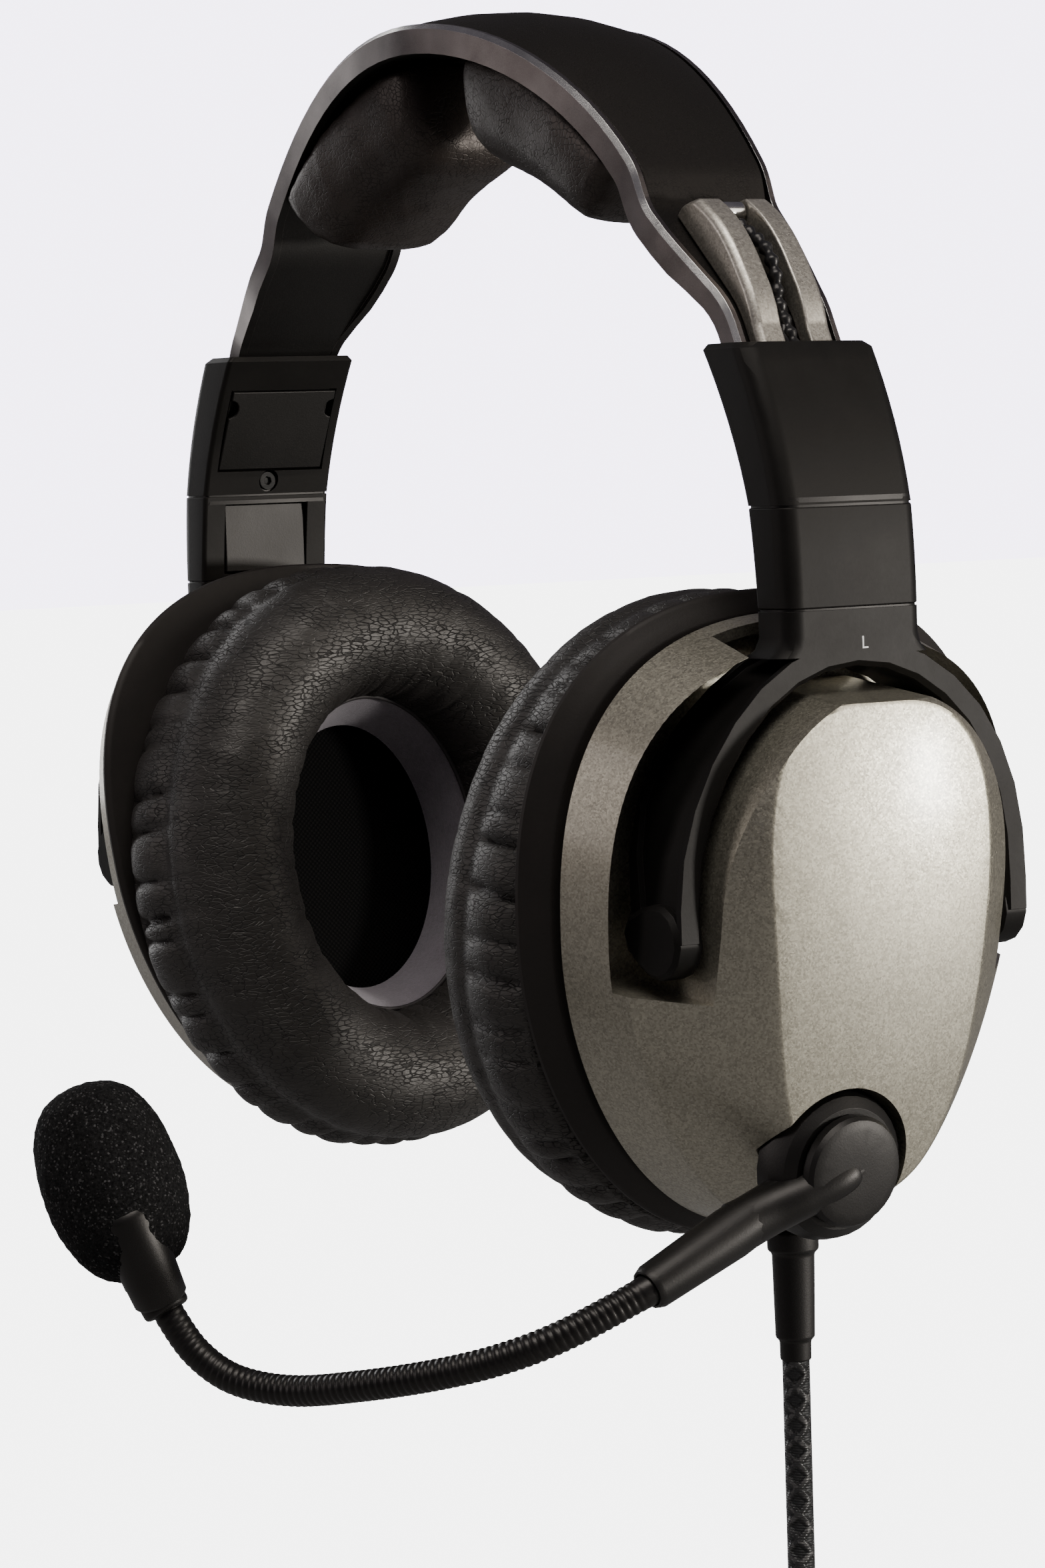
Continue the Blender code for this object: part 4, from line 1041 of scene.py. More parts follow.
# ------------------------------------------------------------------ camera, light and floor
@dataclass
class Studio:
    """Camera, soft light and floor. Angles in degrees, lengths in metres."""

    turn: float = 56.0
    rise: float = 4.3
    roll: float = -1.8
    distance: float = 0.7316
    aim: Point = (0.0, 0.0, -0.1215)
    lens: float = 100.18
    floor_gap: float = 0.004
    floor_half: float = 9.0
    floor_glow: float = 7.0
    floor_share: float = 0.8

    def directions(self) -> tuple[Vector, Vector, Vector]:
        """Back, right and up of the camera."""
        a, e, r = (math.radians(x) for x in (self.turn, self.rise, self.roll))
        back = Vector((math.sin(a) * math.cos(e), -math.cos(a) * math.cos(e), math.sin(e)))
        level = Vector((math.cos(a), math.sin(a), 0.0))
        plumb = back.cross(level)
        right = level * math.cos(r) + plumb * math.sin(r)
        up = plumb * math.cos(r) - level * math.sin(r)
        return back, right, up

    def camera(self) -> None:
        """Make the camera."""
        back, right, up = self.directions()
        data = bpy.data.cameras.new("studio_camera")
        data.lens = self.lens
        data.sensor_width = 36.0
        data.clip_start, data.clip_end = 0.01, 60.0
        camera = bpy.data.objects.new("studio_camera", data)
        bpy.context.scene.collection.objects.link(camera)
        turn = Matrix((right, up, back)).transposed().to_4x4()
        camera.matrix_world = Matrix.Translation(Vector(self.aim) + back * self.distance) @ turn
        bpy.context.scene.camera = camera

    def lamp(self, name: str, way: Vector, distance: float, size: Point, watts: float,
             tint: Point = (1.0, 1.0, 1.0)) -> None:
        """Add one soft box that faces the headset.

        Args:
            name: the lamp's name.
            way: direction from the headset to the lamp.
            distance: how far off it stands.
            size: its width and height.
            watts: its power.
            tint: its colour.
        """
        data = bpy.data.lights.new(name, "AREA")
        data.shape = "RECTANGLE"
        data.size, data.size_y = size
        data.energy = watts
        data.color = tint
        lamp = bpy.data.objects.new(name, data)
        bpy.context.scene.collection.objects.link(lamp)
        lamp.location = Vector(self.aim) + way.normalized() * distance
        lamp.rotation_mode = "QUATERNION"
        lamp.rotation_quaternion = way.to_track_quat("Z", "Y")

    def light(self) -> None:
        """Hang the soft boxes and set the sky."""
        back, right, _ = self.directions()
        top = Vector((0.0, 0.0, 1.0))
        self.lamp("key_box", Vector((0.758, 0.652, -0.02)), 1.25, (0.11, 0.13), 12.0, (1.0, 0.98, 0.94))
        self.lamp("wide_box", Vector((0.70, 0.60, 0.30)), 1.5, (0.7, 0.7), 5.2, (1.0, 0.94, 0.84))
        self.lamp("left_box", back * 0.10 - right * 1.0 + top * 0.25, 1.5, (0.4, 0.9), 3.4, (1.0, 0.93, 0.92))
        self.lamp("top_box", top + back * 0.55, 1.25, (0.9, 0.5), 13.0, (1.0, 0.97, 0.93))
        self.lamp("rim_box", top * 0.35 - back * 0.9 - right * 0.7, 1.7, (0.6, 1.2), 9.0)
        world = bpy.data.worlds.new("pale_sky")
        bpy.context.scene.world = world
        world.use_nodes = True
        tree = world.node_tree
        sky = tree.nodes["Background"]
        sky.inputs["Color"].default_value = (0.88, 0.82, 1.0, 1.0)
        path = tree.nodes.new("ShaderNodeLightPath")
        amount = tree.nodes.new("ShaderNodeMapRange")
        amount.inputs["To Min"].default_value = 0.11
        amount.inputs["To Max"].default_value = 6.0
        tree.links.new(path.outputs["Is Camera Ray"], amount.inputs["Value"])
        tree.links.new(amount.outputs[0], sky.inputs["Strength"])

    def floor(self) -> None:
        """Lay the floor under the plug's lowest point."""
        z = CAD_BOX[0].z - self.floor_gap
        half = self.floor_half
        work = bmesh.new()
        corners = ((-half, -half), (half, -half), (half, half), (-half, half))
        work.faces.new([work.verts.new((x, y, z)) for x, y in corners])
        floor = mesh_piece("studio_floor", work)
        w = Wiring("pale_floor")
        tone = w.noise(w.place(), 400.0, 2.0)
        colour = w.blend(tone, (0.30, 0.30, 0.30), (0.32, 0.32, 0.32))
        paper = w.surface(Base_Color=colour, Roughness=0.9)
        self.brighten(paper)
        floor.data.materials.append(paper)

    def brighten(self, paper: bpy.types.Material) -> None:
        """Let the paper floor look bright without lighting the headset from below.

        Args:
            paper: the floor's material.
        """
        tree = paper.node_tree
        path = tree.nodes.new("ShaderNodeLightPath")
        glow = tree.nodes.new("ShaderNodeEmission")
        glow.inputs["Strength"].default_value = self.floor_glow
        mix = tree.nodes.new("ShaderNodeMixShader")
        last = next(n for n in tree.nodes if n.type == "OUTPUT_MATERIAL")
        lit = last.inputs["Surface"].links[0].from_socket
        share = tree.nodes.new("ShaderNodeMath")
        share.operation = "MULTIPLY"
        share.inputs[1].default_value = self.floor_share
        tree.links.new(path.outputs["Is Camera Ray"], share.inputs[0])
        tree.links.new(share.outputs[0], mix.inputs[0])
        tree.links.new(lit, mix.inputs[1])
        tree.links.new(glow.outputs[0], mix.inputs[2])
        tree.links.new(mix.outputs[0], last.inputs["Surface"])

    def build(self) -> None:
        """Make everything in the studio."""
        self.camera()
        self.light()
        self.floor()
        LOG.info("studio ready")


# ------------------------------------------------------------------ cable
@dataclass
class Cable:
    """Braided cable from the boot to the round connector, wound in a tied coil."""

    diameter: float = 4.3
    length: float = 1.36
    coil_radius: float = 27.0
    bundle_spot: float = 4.95
    turns: int = 7
    join_angle: float = 24.0
    swap_from: float = 300.0
    sides: int = 28
    step: float = 1.0
    spots: tuple[Optional[float], ...] = (0.0, 51.0, 103.0, 154.0, None, 206.0, 257.0, 309.0)

    def bundle_offset(self, spot: Optional[float]) -> Vector:
        """Offset (outward, sideways) of one turn inside the bundle."""
        if spot is None:
            return Vector((0.0, 0.0))
        a = math.radians(spot)
        return Vector((math.cos(a), math.sin(a))) * self.bundle_spot

    def route(self) -> list[Vector]:
        """Centreline in millimetres: straight drop, coil worked out turn by turn, short tail."""
        low, high = (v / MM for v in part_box("cable_boot"))
        ring_low, ring_high = (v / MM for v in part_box("cable_coil"))
        x = 0.5 * (low.x + high.x)
        exit_z = low.z
        centre_z = 0.5 * (ring_low.z + ring_high.z)
        plug_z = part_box("plug_body")[1].z / MM
        top = centre_z + self.coil_radius + self.bundle_spot
        bottom = 2 * centre_z - top
        points = [Vector((x, 0.0, z)) for z in np.linspace(exit_z, top + 16.0, 12)]
        points += [Vector((x + dx, 0.0, top + dz)) for dx, dz in ((0.6, 10.0), (2.8, 5.2), (7.0, 1.2))]
        total = 360.0 * self.turns + 180.0 - 2 * self.join_angle
        for step in np.linspace(0.0, total, int(total / 9)):
            angle = self.join_angle + step
            lap = int(angle // 360.0)
            first = self.bundle_offset(self.spots[lap])
            second = self.bundle_offset(self.spots[min(lap + 1, len(self.spots) - 1)])
            out, across = first.lerp(second, ease(angle % 360.0, self.swap_from, 360.0))
            a = math.radians(angle)
            radius = self.coil_radius + out
            points.append(Vector((x + radius * math.sin(a), across, centre_z + radius * math.cos(a))))
        leave = points[-1]
        for share, dx, dz in ((0.7, 7.0, -1.2), (0.4, 2.8, -5.2), (0.15, 0.6, -10.0)):
            points.append(Vector((x + dx, leave.y * share, bottom + dz + 2.0)))
        points += [Vector((x, 0.0, z)) for z in np.linspace(bottom - 14.0, plug_z, 5)]
        return smooth_path(points, self.step)

    def build(self) -> None:
        """Make the cable, the tie and the connector."""
        path = self.route()
        radius = 0.5 * self.diameter
        cable = tube("braided_cable", path, lambda run, a: radius, self.sides, grid=True)
        place_piece(cable, "left_cup", "cable_braid", "cable_run", "cable_coil", "cable_tail")
        tie = refined("coil_tie", 0.35)
        plug, tip = refined("plug_body", 0.3), refined("plug_tip", 0.25)


# ------------------------------------------------------------------ ear cups
@dataclass
class EarCup:
    """One ear cup, built in its own axes: n outward, y rearward, z along the cup's up."""

    side: Side
    tilt: float = 7.5
    pin_gap: float = 0.3
    around: int = 144
    shell_rim: float = -15.0
    shell_crease: float = -2.0
    shell_top: float = 15.5
    shell_centre: float = -2.5
    yoke_centre: float = 5.0
    cushion_centre: float = -4.5
    cushion_half: tuple[float, float] = (44.4, 51.4)
    ear_half: tuple[float, float] = (19.5, 27.0)
    hub: tuple[float, float] = (-7.0, -34.0)
    hub_radius: float = 12.0
    pocket_foot: float = -8.6
    pocket_floor: float = -13.5
    pocket_slope: float = 0.02
    pocket_column: tuple[float, float] = (27.7, 32.7)
    pocket_fin: tuple[float, float] = (37.7, 46.2)
    pleats: int = 46
    origin: Vector = field(init=False)
    out: Vector = field(init=False)
    up: Vector = field(init=False)

    def __post_init__(self) -> None:
        """Find the cup's origin from its tilt joint."""
        pin = Vector(JOINTS[self.side.tag + "_cup_tilt"]["pos_m"]) / MM
        a = math.radians(self.tilt)
        sign = self.side.value
        self.origin = Vector((pin.x - sign * self.pin_gap, 0.0, pin.z))
        self.out = Vector((sign * math.cos(a), 0.0, -math.sin(a)))
        self.up = Vector((sign * math.sin(a), 0.0, math.cos(a)))

    @property
    def body(self) -> str:
        """Body that the cup's pieces ride on."""
        return self.side.tag + "_cup"

    def at(self, n: float, y: float, z: float) -> Vector:
        """World point, in millimetres, of a cup point."""
        point = self.origin + self.out * n + self.up * z
        return Vector((point.x, y, point.z))

    def egg(self, half_y: float, half_z: float) -> list[tuple[float, float]]:
        """Egg outline, fuller at the top, as (y, z) points."""
        out = []
        for a in np.linspace(0, math.tau, self.around, endpoint=False):
            c, q = math.cos(a), math.sin(a)
            power = 2.4 if q > 0 else 2.0
            z = math.copysign(abs(q) ** (2 / power), q)
            y = math.copysign(abs(c) ** (2 / power), c)
            out.append((half_y * y * (1 + 0.12 * z), self.shell_centre + half_z * z))
        return out

    def face_outline(self) -> list[tuple[float, float]]:
        """Outline of the outer face of the shell, as (y, z) points."""
        out = []
        for a in np.linspace(0, math.tau, self.around, endpoint=False):
            c, q = math.cos(a), math.sin(a)
            z = math.copysign(abs(q) ** 0.72, q)
            y = math.copysign(abs(c) ** 0.62, c)
            out.append((19.6 * y * (1 + 0.20 * z) - 1.8, -1.5 + 37.5 * z))
        return out

    def dome(self, y: float, z: float) -> float:
        """Height of the outer face of the shell."""
        return self.shell_top - (z + 8.0) ** 2 / 400.0 - y * y / 330.0

    def shell_rings(self) -> list[Ring]:
        """Rings of the shell from its rim over the crease to the middle of its face."""
        rings = [[self.at(self.shell_rim, y, z) for y, z in self.egg(40.0, 48.5)]]
        for t in (0.33, 0.66, 1.0):
            n = self.shell_rim + (self.shell_crease - 0.6 - self.shell_rim) * t
            rings.append([self.at(n, y, z) for y, z in self.egg(40.0 - 3.1 * t, 48.5 - 2.1 * t)])
        rings.append([self.at(self.shell_crease + 0.1, y, z) for y, z in self.egg(36.3, 45.9)])
        outer, inner = self.egg(36.3, 45.9), self.face_outline()
        for t in (0.12, 0.24, 0.36, 0.48, 0.6, 0.72, 0.84, 0.93, 0.985):
            ring = []
            for (ya, za), (yb, zb) in zip(outer, inner):
                top = self.dome(yb, zb)
                n = self.shell_crease + (top - self.shell_crease) * (t + 0.22 * t * (1 - t))
                ring.append(self.at(n, ya + (yb - ya) * t, za + (zb - za) * t))
            rings.append(ring)
        for t in (0.985, 0.94, 0.86, 0.76, 0.66, 0.55, 0.44, 0.33, 0.22, 0.11, 0.03):
            ring = []
            for yb, zb in inner:
                y, z = yb * t, -1.5 + (zb + 1.5) * t
                ring.append(self.at(self.dome(y, z), y, z))
            rings.append(ring)
        return rings

    def recess(self) -> bpy.types.Object:
        """Cutter for the pockets that the stirrup's arms lie in."""
        half_y, half_z = self.pocket_column
        outer = []
        for z in (self.pocket_foot, 60.0):
            n = self.pocket_floor - self.pocket_slope * z
            outer.append([self.at(*p) for p in ((n, -60, z), (n, 60, z), (40, 60, z), (40, -60, z))])
        block = loft("recess_block", outer)
        arch = [(half_y * math.cos(a), self.yoke_centre + half_z * math.sin(a))
                for a in np.linspace(0, math.pi, 73)]
        arch += [(-half_y, -60.0), (half_y, -60.0)]
        carve(block, loft("recess_arch", [[self.at(n, y, z) for y, z in arch] for n in (-40, 60)]))
        inner, outer = self.egg(*self.pocket_fin), self.egg(60.0, 68.0)
        rings = [[self.at(n, y, z) for (y, z), n in ((a, -30.0), (b, -30.0), (b, 30.0), (a, 30.0))]
                 for a, b in zip(inner, outer)]
        carve(block, loft("recess_fin", rings, wrap=True))
        return block

    def build_shell(self) -> None:
        """Painted outer shell."""
        shell = loft("shell_" + self.side.tag, self.shell_rings(), corner=30.0)
        carve(shell, self.recess())
        corners = ((-17.0, 36.0), (17.0, 36.0), (17.0, 60.0), (-17.0, 60.0))
        room = loft("head_room", [[self.at(n, y, z) for y, z in corners] for n in (-11.8, 30.0)])
        carve(shell, room)
        if self.side is Side.LEFT:
            y, z = self.hub
            pocket = turned("hub_pocket", self.at(8.3, y, z), self.out,
                            ((self.hub_radius + 0.4, 0.0), (self.hub_radius + 0.4, 22.0)))
            carve(shell, pocket)
        soften(shell, 0.45, 2, 26.0)
        place_piece(shell, self.body, "shell_paint", "cup_shell_" + self.side.tag)

    def build_chassis(self) -> None:
        """Matte ring between the shell and the ear cushion, with its groove."""
        profile = ((43.4, 50.4, -21.3), (44.0, 51.0, -21.1), (44.4, 51.3, -20.5), (44.3, 51.2, -19.9),
                   (43.7, 50.8, -19.5), (42.2, 49.6, -18.5), (40.6, 48.4, -17.2), (40.1, 48.0, -17.0),
                   (38.0, 46.2, -16.8), (38.0, 46.2, -15.3), (33.6, 41.6, -15.3), (33.6, 41.6, -21.3))
        loops = [self.egg(half_y, half_z) for half_y, half_z, _ in profile]
        rings = [[self.at(profile[i][2], *loops[i][k]) for i in range(len(profile))]
                 for k in range(self.around)]
        ring = loft("chassis_" + self.side.tag, rings, wrap=True, corner=40.0)
        place_piece(ring, self.body, "chassis_plastic", "cup_chassis_" + self.side.tag)

    def seal_section(self, samples: int) -> np.ndarray:
        """Closed section of the ear cushion as (share outward, n, share from the back seam) rows."""
        knots = np.array(((0.90, -21.7), (0.95, -24.3), (0.985, -28.0), (0.99, -33.4), (0.955, -36.6),
                          (0.968, -39.4), (0.915, -43.6), (0.77, -48.0), (0.56, -49.8), (0.36, -49.4),
                          (0.18, -46.8), (0.07, -42.2), (0.02, -36.4), (0.05, -30.5), (0.20, -26.4),
                          (0.215, -21.7)))
        steps = [0.0]
        for (u0, n0), (u1, n1) in zip(knots, knots[1:]):
            steps.append(steps[-1] + math.hypot((u1 - u0) * 24.7, n1 - n0))
        curve = smooth_path([(u * 24.7, n, 0.0) for u, n in knots], steps[-1] / (samples - 1))
        rows = [(p.x / 24.7, p.y, i / (len(curve) - 1)) for i, p in enumerate(curve)]
        return np.array(rows)

    def build_cushion(self) -> None:
        """Leather ear seal: gathered side wall, cracked crest and fine folds round the opening."""
        draw = np.random.default_rng(11 if self.side is Side.LEFT else 23)
        section = self.seal_section(64)
        around = 480
        angles = np.linspace(0, math.tau, around, endpoint=False)
        folds = (np.arange(self.pleats) + draw.uniform(-0.28, 0.28, self.pleats)) * math.tau / self.pleats
        depth = draw.uniform(1.2, 2.5, self.pleats)
        reach = draw.uniform(0.24, 0.42, self.pleats)
        lean = draw.uniform(-0.05, 0.05, self.pleats)
        inner_folds = draw.uniform(0, math.tau, 90)
        inner_depth = draw.uniform(0.12, 0.42, 90)
        inner_lean = draw.uniform(-0.12, 0.12, 90)
        rings = []
        for a in angles:
            ring = []
            for u, n, t in section:
                shift = self.gather(a, t, folds, depth, reach, lean)
                gap = np.abs((a - inner_folds - inner_lean * (t - 0.6) + math.pi) % math.tau - math.pi)
                fine = np.exp(-gap / 0.018) * inner_depth
                inside = ease(t, 0.52, 0.68) * (1 - ease(t, 0.86, 0.97))
                shift -= float(fine.sum()) * inside
                half_y = self.ear_half[0] + (self.cushion_half[0] - self.ear_half[0]) * u
                half_z = self.ear_half[1] + (self.cushion_half[1] - self.ear_half[1]) * u
                wall = math.cos(math.pi * min(max((t - 0.1) / 0.8, 0.0), 1.0))
                lift = math.sin(math.pi * min(max((t - 0.1) / 0.8, 0.0), 1.0))
                y = (half_y + shift * wall) * math.cos(a)
                z = self.cushion_centre + (half_z + shift * wall) * math.sin(a)
                ring.append(self.at(n - shift * lift, y, z))
            rings.append(ring)
        cushion = loft("ear_seal_" + self.side.tag, rings, wrap=True, corner=75.0)
        field_at = wrinkle_field(5 if self.side is Side.LEFT else 6, 14, 5.0, 16.0)
        push_out(cushion, lambda p, n: 0.22 * field_at(p))
        place_piece(cushion, self.body, "cushion_leather", "ear_cushion_" + self.side.tag)

    @staticmethod
    def gather(a: float, t: float, folds: np.ndarray, depth: np.ndarray, reach: np.ndarray,
               lean: np.ndarray) -> float:
        """Depth of the gathers of the side wall.

        Args:
            a: angle round the cushion.
            t: share along the section from the back seam.
            folds: angle of each fold.
            depth: depth of each fold in millimetres.
            reach: how far each fold runs.
            lean: how far each fold drifts.

        Returns:
            Movement outward in millimetres.
        """
        if t > 0.6:
            return 0.0
        gap = np.abs((a - folds - lean * t * 2 + math.pi) % math.tau - math.pi)
        start = ease(t, 0.0, 0.035)
        wall = 1 - ease(t, 0.165, 0.215)
        beyond = 0.16 * (1 - np.clip((t - 0.05) / (reach + 0.2), 0, 1)) ** 1.2
        crease = np.exp(-gap / 0.016) * depth * np.maximum(wall, beyond)
        swell = 0.75 * start * wall * math.sin(math.pi * min(t / 0.20, 1.0))
        return float(swell - crease.sum() * start)

    def build_liner(self) -> None:
        """Felt ring inside the ear seal, with its piping."""
        profile = ((20.6, 28.3, -35.4), (20.1, 27.8, -35.9), (19.2, 26.9, -34.2), (17.9, 25.3, -31.0),
                   (16.6, 23.8, -27.6), (16.4, 23.5, -26.8), (18.6, 25.8, -25.6), (23.6, 31.4, -24.1),
                   (23.8, 31.6, -23.8), (21.4, 29.2, -30.0))
        rings = []
        for a in np.linspace(0, math.tau, self.around, endpoint=False):
            c, q = math.cos(a), math.sin(a)
            rings.append([self.at(n, hy * c, self.cushion_centre + hz * q) for hy, hz, n in profile])
        felt = loft("liner_" + self.side.tag, rings, wrap=True, corner=60.0)
        place_piece(felt, self.body, "liner_felt", "cushion_liner_" + self.side.tag)
        path = [self.at(-36.0, 20.1 * math.cos(a), self.cushion_centre + 27.7 * math.sin(a))
                for a in np.linspace(0, math.tau, 97)]
        piping = tube("liner_piping_" + self.side.tag, path, lambda run, a: 0.42, 12)
        place_piece(piping, self.body, "piping")

    def build_inside(self) -> None:
        """Baffle cloth, and finishes for the pieces behind it."""
        refined("baffle_" + self.side.tag, 0.4)
        for node in ("driver_", "circuit_board_"):
            WARDROBE.dress(frame["nodes"][node + self.side.tag], SLOT_OF[node + self.side.tag])

    def build(self) -> None:
        """Make the whole cup."""
        self.build_shell()
        self.build_chassis()
        self.build_cushion()
        self.build_liner()
        self.build_inside()


# ------------------------------------------------------------------ boom microphone
@dataclass
class Boom:
    """Hub with arm, ribbed gooseneck, microphone and foam windscreen."""

    cup: EarCup
    neck_radius: float = 2.4
    rib_pitch: float = 1.15
    rib_depth: float = 0.18
    arm_end: Point = (13.2, -41.6, -48.6)
    arm_start: Point = (11.8, -11.0, -35.7)
    bend: tuple[Point, ...] = ((85.8, -53.8, -194.7), (79.6, -61.0, -198.2), (71.0, -67.2, -201.0),
                               (59.5, -73.2, -203.6), (48.5, -78.0, -205.3), (40.0, -82.6, -204.3),
                               (34.6, -86.0, -200.6), (31.4, -88.6, -195.0))
    foam_long: float = 31.6
    foam_wide: float = 22.4
    foam_axis: Point = (-0.36, -0.16, 0.92)

    def build_neck(self) -> None:
        """Gooseneck with a helical rib."""
        begin, finish = Vector(self.cup.at(*self.arm_start)), Vector(self.cup.at(*self.arm_end))
        way = (finish - begin).normalized()
        knots = [finish - way * 4.6, finish + way] + [Vector(p) for p in self.bend]
        knots.append(knots[-1] + Vector(self.foam_axis).normalized() * 2.4)
        path = smooth_path(knots, 0.2)
        total = 0.2 * len(path)

        def radius(run: float, angle: float) -> float:
            """Radius with the rib's groove, plain at both ends."""
            phase = run / self.rib_pitch - angle / math.tau
            groove = (0.5 + 0.5 * math.cos(math.tau * phase)) ** 2
            strength = ease(run, 5.0, 8.0) * (1 - 0.45 * ease(run, total * 0.45, total * 0.9))
            return self.neck_radius - self.rib_depth * groove * strength

        neck = tube("gooseneck_ribbed", path, radius, 22, 60.0)
        place_piece(neck, "boom", "gooseneck_rubber", "gooseneck")

    def build_ridge(self) -> None:
        """Raised ridge that carries the arm over the cap."""
        knots = [self.cup.at(*p) for p in ((12.0, -25.0, -41.7), (12.9, -19.5, -39.4), (14.6, -14.5, -37.2),
                                           (15.7, -9.5, -35.1), (15.2, -5.2, -33.2))]
        path = smooth_path(knots, 0.3)
        total = 0.3 * (len(path) - 1)

        def radius(run: float, angle: float) -> float:
            """Radius that tapers towards the middle of the cap and ends round."""
            end = max(total - run, 0.02)
            body = 4.0 - 1.1 * run / total
            return body * math.sqrt(max(1 - (1 - min(end / body, 1.0)) ** 2, 0.01))

        place_piece(tube("boom_ridge", path, radius, 32), "boom", "boom_plastic")

    def build_sleeve(self) -> None:
        """Tapered sleeve that carries the microphone from the collar into the foam."""
        low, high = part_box("mic_collar")
        axis = Vector(self.foam_axis).normalized()
        toward = Vector((0.827, -0.558, 0.0))
        toward = (toward - axis * toward.dot(axis)).normalized()
        foot = 0.5 * (low + high) / MM + toward * 0.3
        lean = (axis + toward * 0.36).normalized()
        profile = ((0.6, 0.0), (3.8, 0.0), (4.2, 0.5), (4.4, 4.0), (4.65, 9.0), (4.8, 14.6), (4.5, 15.6),
                   (3.7, 16.2), (0.6, 16.4))
        sleeve = turned("mic_sleeve", foot, lean, profile, 64, 50.0)
        place_piece(sleeve, "boom", "boom_plastic")

    def build_windscreen(self) -> None:
        """Open foam windscreen with a rough skin and a mouth round the microphone."""
        low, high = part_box("mic_windscreen")
        centre = 0.5 * (low + high) / MM
        half, wide = 0.5 * self.foam_long, 0.5 * self.foam_wide
        profile = []
        for t in np.linspace(0.09, math.pi - 0.02, 90):
            profile.append((wide * math.sin(t) ** 0.68 + 0.02, -half * math.cos(t)))
        mouth = profile[0][0]
        profile = [(mouth - 1.6, profile[0][1] + 3.0), (mouth - 0.8, profile[0][1] + 0.5)] + profile
        foam = turned("windscreen", centre, Vector(self.foam_axis), profile, 150, 80.0)
        rough = wrinkle_field(41, 40, 0.9, 2.4)
        lump = wrinkle_field(42, 10, 5.0, 12.0)
        push_out(foam, lambda p, n: 0.28 * rough(p) + 0.22 * lump(p) - 0.12)
        place_piece(foam, "boom", "windscreen_foam", "mic_windscreen")

    def build(self) -> None:
        """Make the whole boom."""
        for node, width in (("boom_housing", 0.45), ("boom_cap", 0.4),
                            ("mic_collar", 0.3), ("mic_housing", 0.4)):
            refined(node, width)
        WARDROBE.dress(frame["nodes"]["mic_capsule"], SLOT_OF["mic_capsule"])
        self.build_neck()
        self.build_windscreen()
        self.build_ridge()
        self.build_sleeve()


# ------------------------------------------------------------------ headband and stems
@dataclass
class Headband:
    """Metal band, leather cover, two pads, and the metal forks at its ends."""

    pad_voxel: float = 2.0
    pad_pressure: float = 6.0
    pad_cap: float = 1.8
    wire_rib: float = 2.6
    pad_seat: float = 1.5

    def build_pad(self, side: Side) -> None:
        """One soft pad, blown up as cloth with its back sewn to the band.

        Args:
            side: which pad.
        """
        node = "head_pad_" + side.tag
        pad = cad_copy(node, "crown_pad_" + side.tag)
        remesh = pad.modifiers.new("even", "REMESH")
        remesh.mode = "VOXEL"
        remesh.voxel_size = self.pad_voxel * MM
        graph = bpy.context.evaluated_depsgraph_get()
        pad.data = bpy.data.meshes.new_from_object(pad.evaluated_get(graph))
        pad.modifiers.clear()
        push_out(pad, lambda p, n: np.full(len(p), -0.9))
        centre = Vector((0.0, 0.0, -0.0667))
        puff_up(pad, self.pad_pressure, self.pad_cap, lambda p: (p - centre).length > 0.0615)
        finer = pad.modifiers.new("finer", "SUBSURF")
        finer.levels = finer.render_levels = 2
        graph = bpy.context.evaluated_depsgraph_get()
        pad.data = bpy.data.meshes.new_from_object(pad.evaluated_get(graph))
        pad.modifiers.clear()
        pad.data.shade_smooth()
        for vertex in pad.data.vertices:
            way = vertex.co - centre
            vertex.co += way.normalized() * (self.pad_seat * MM * ease(way.length, 0.0585, 0.0605))
        wrinkle = wrinkle_field(61 if side is Side.LEFT else 62, 12, 6.0, 18.0)
        push_out(pad, lambda p, n: 0.25 * wrinkle(p) + 0.2)
        place_piece(pad, "headband", "pad_leather", node)

    def build_frame(self) -> None:
        """Band with a painted highlight on the chamfers of its rims and painted shade on its underside, each
        a finish given to the faces that face that way.
        """
        band = refined("headband_frame", 0.45)
        # The second finish is painted shade and the third is a painted highlight.
        band.data.materials.append(WARDROBE.material("plate_plastic"))
        centre = Vector((0.0, 0.0, -0.0667))
        band.data.materials.append(WARDROBE.material("pin_steel"))
        for face in band.data.polygons:
            inward = face.normal.dot(centre - face.center) > 0.0
            # Painted shade: faces that turn in towards the head get the black plastic finish.
            if inward and abs(face.normal.y) < 0.3:
                face.material_index = 1
            # Painted highlight: faces between the side and the top of the rim get the bright steel finish.
            elif not inward and 0.35 < abs(face.normal.y) < 0.93:
                face.material_index = 2

    def build_slot_wire(self, side: Side) -> None:
        """Ribbed audio wire that runs down the slot of a fork.

        Args:
            side: which fork.
        """
        node = "slider_arm_" + side.tag
        low, high = (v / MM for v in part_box(node))
        points = [v.co / MM for v in frame["nodes"][node].data.vertices]
        middle = []
        for z in np.arange(high.z - 4.0, low.z + 2.0, -4.0):
            near = [p.x for p in points if abs(p.z - z) < 3.0]
            if near:
                middle.append((0.5 * (min(near) + max(near)), 0.0, float(z)))
        path = smooth_path(middle, 0.3)
        wire = tube("slot_wire_" + side.tag, path,
                    lambda run, a: 0.95 + 0.22 * math.sin(run * self.wire_rib), 16)
        place_piece(wire, "headband", "wire_jacket")

    def build(self) -> None:
        """Make the whole band."""
        self.build_frame()
        refined("headband_cover", 0.3)
        for side in Side:
            self.build_pad(side)
            self.build_slot_wire(side)
            for node, width in (("slider_arm_", 0.4), ("arm_roller_", 0.25), ("crossover_wire_", 0.0)):
                refined(node + side.tag, width)


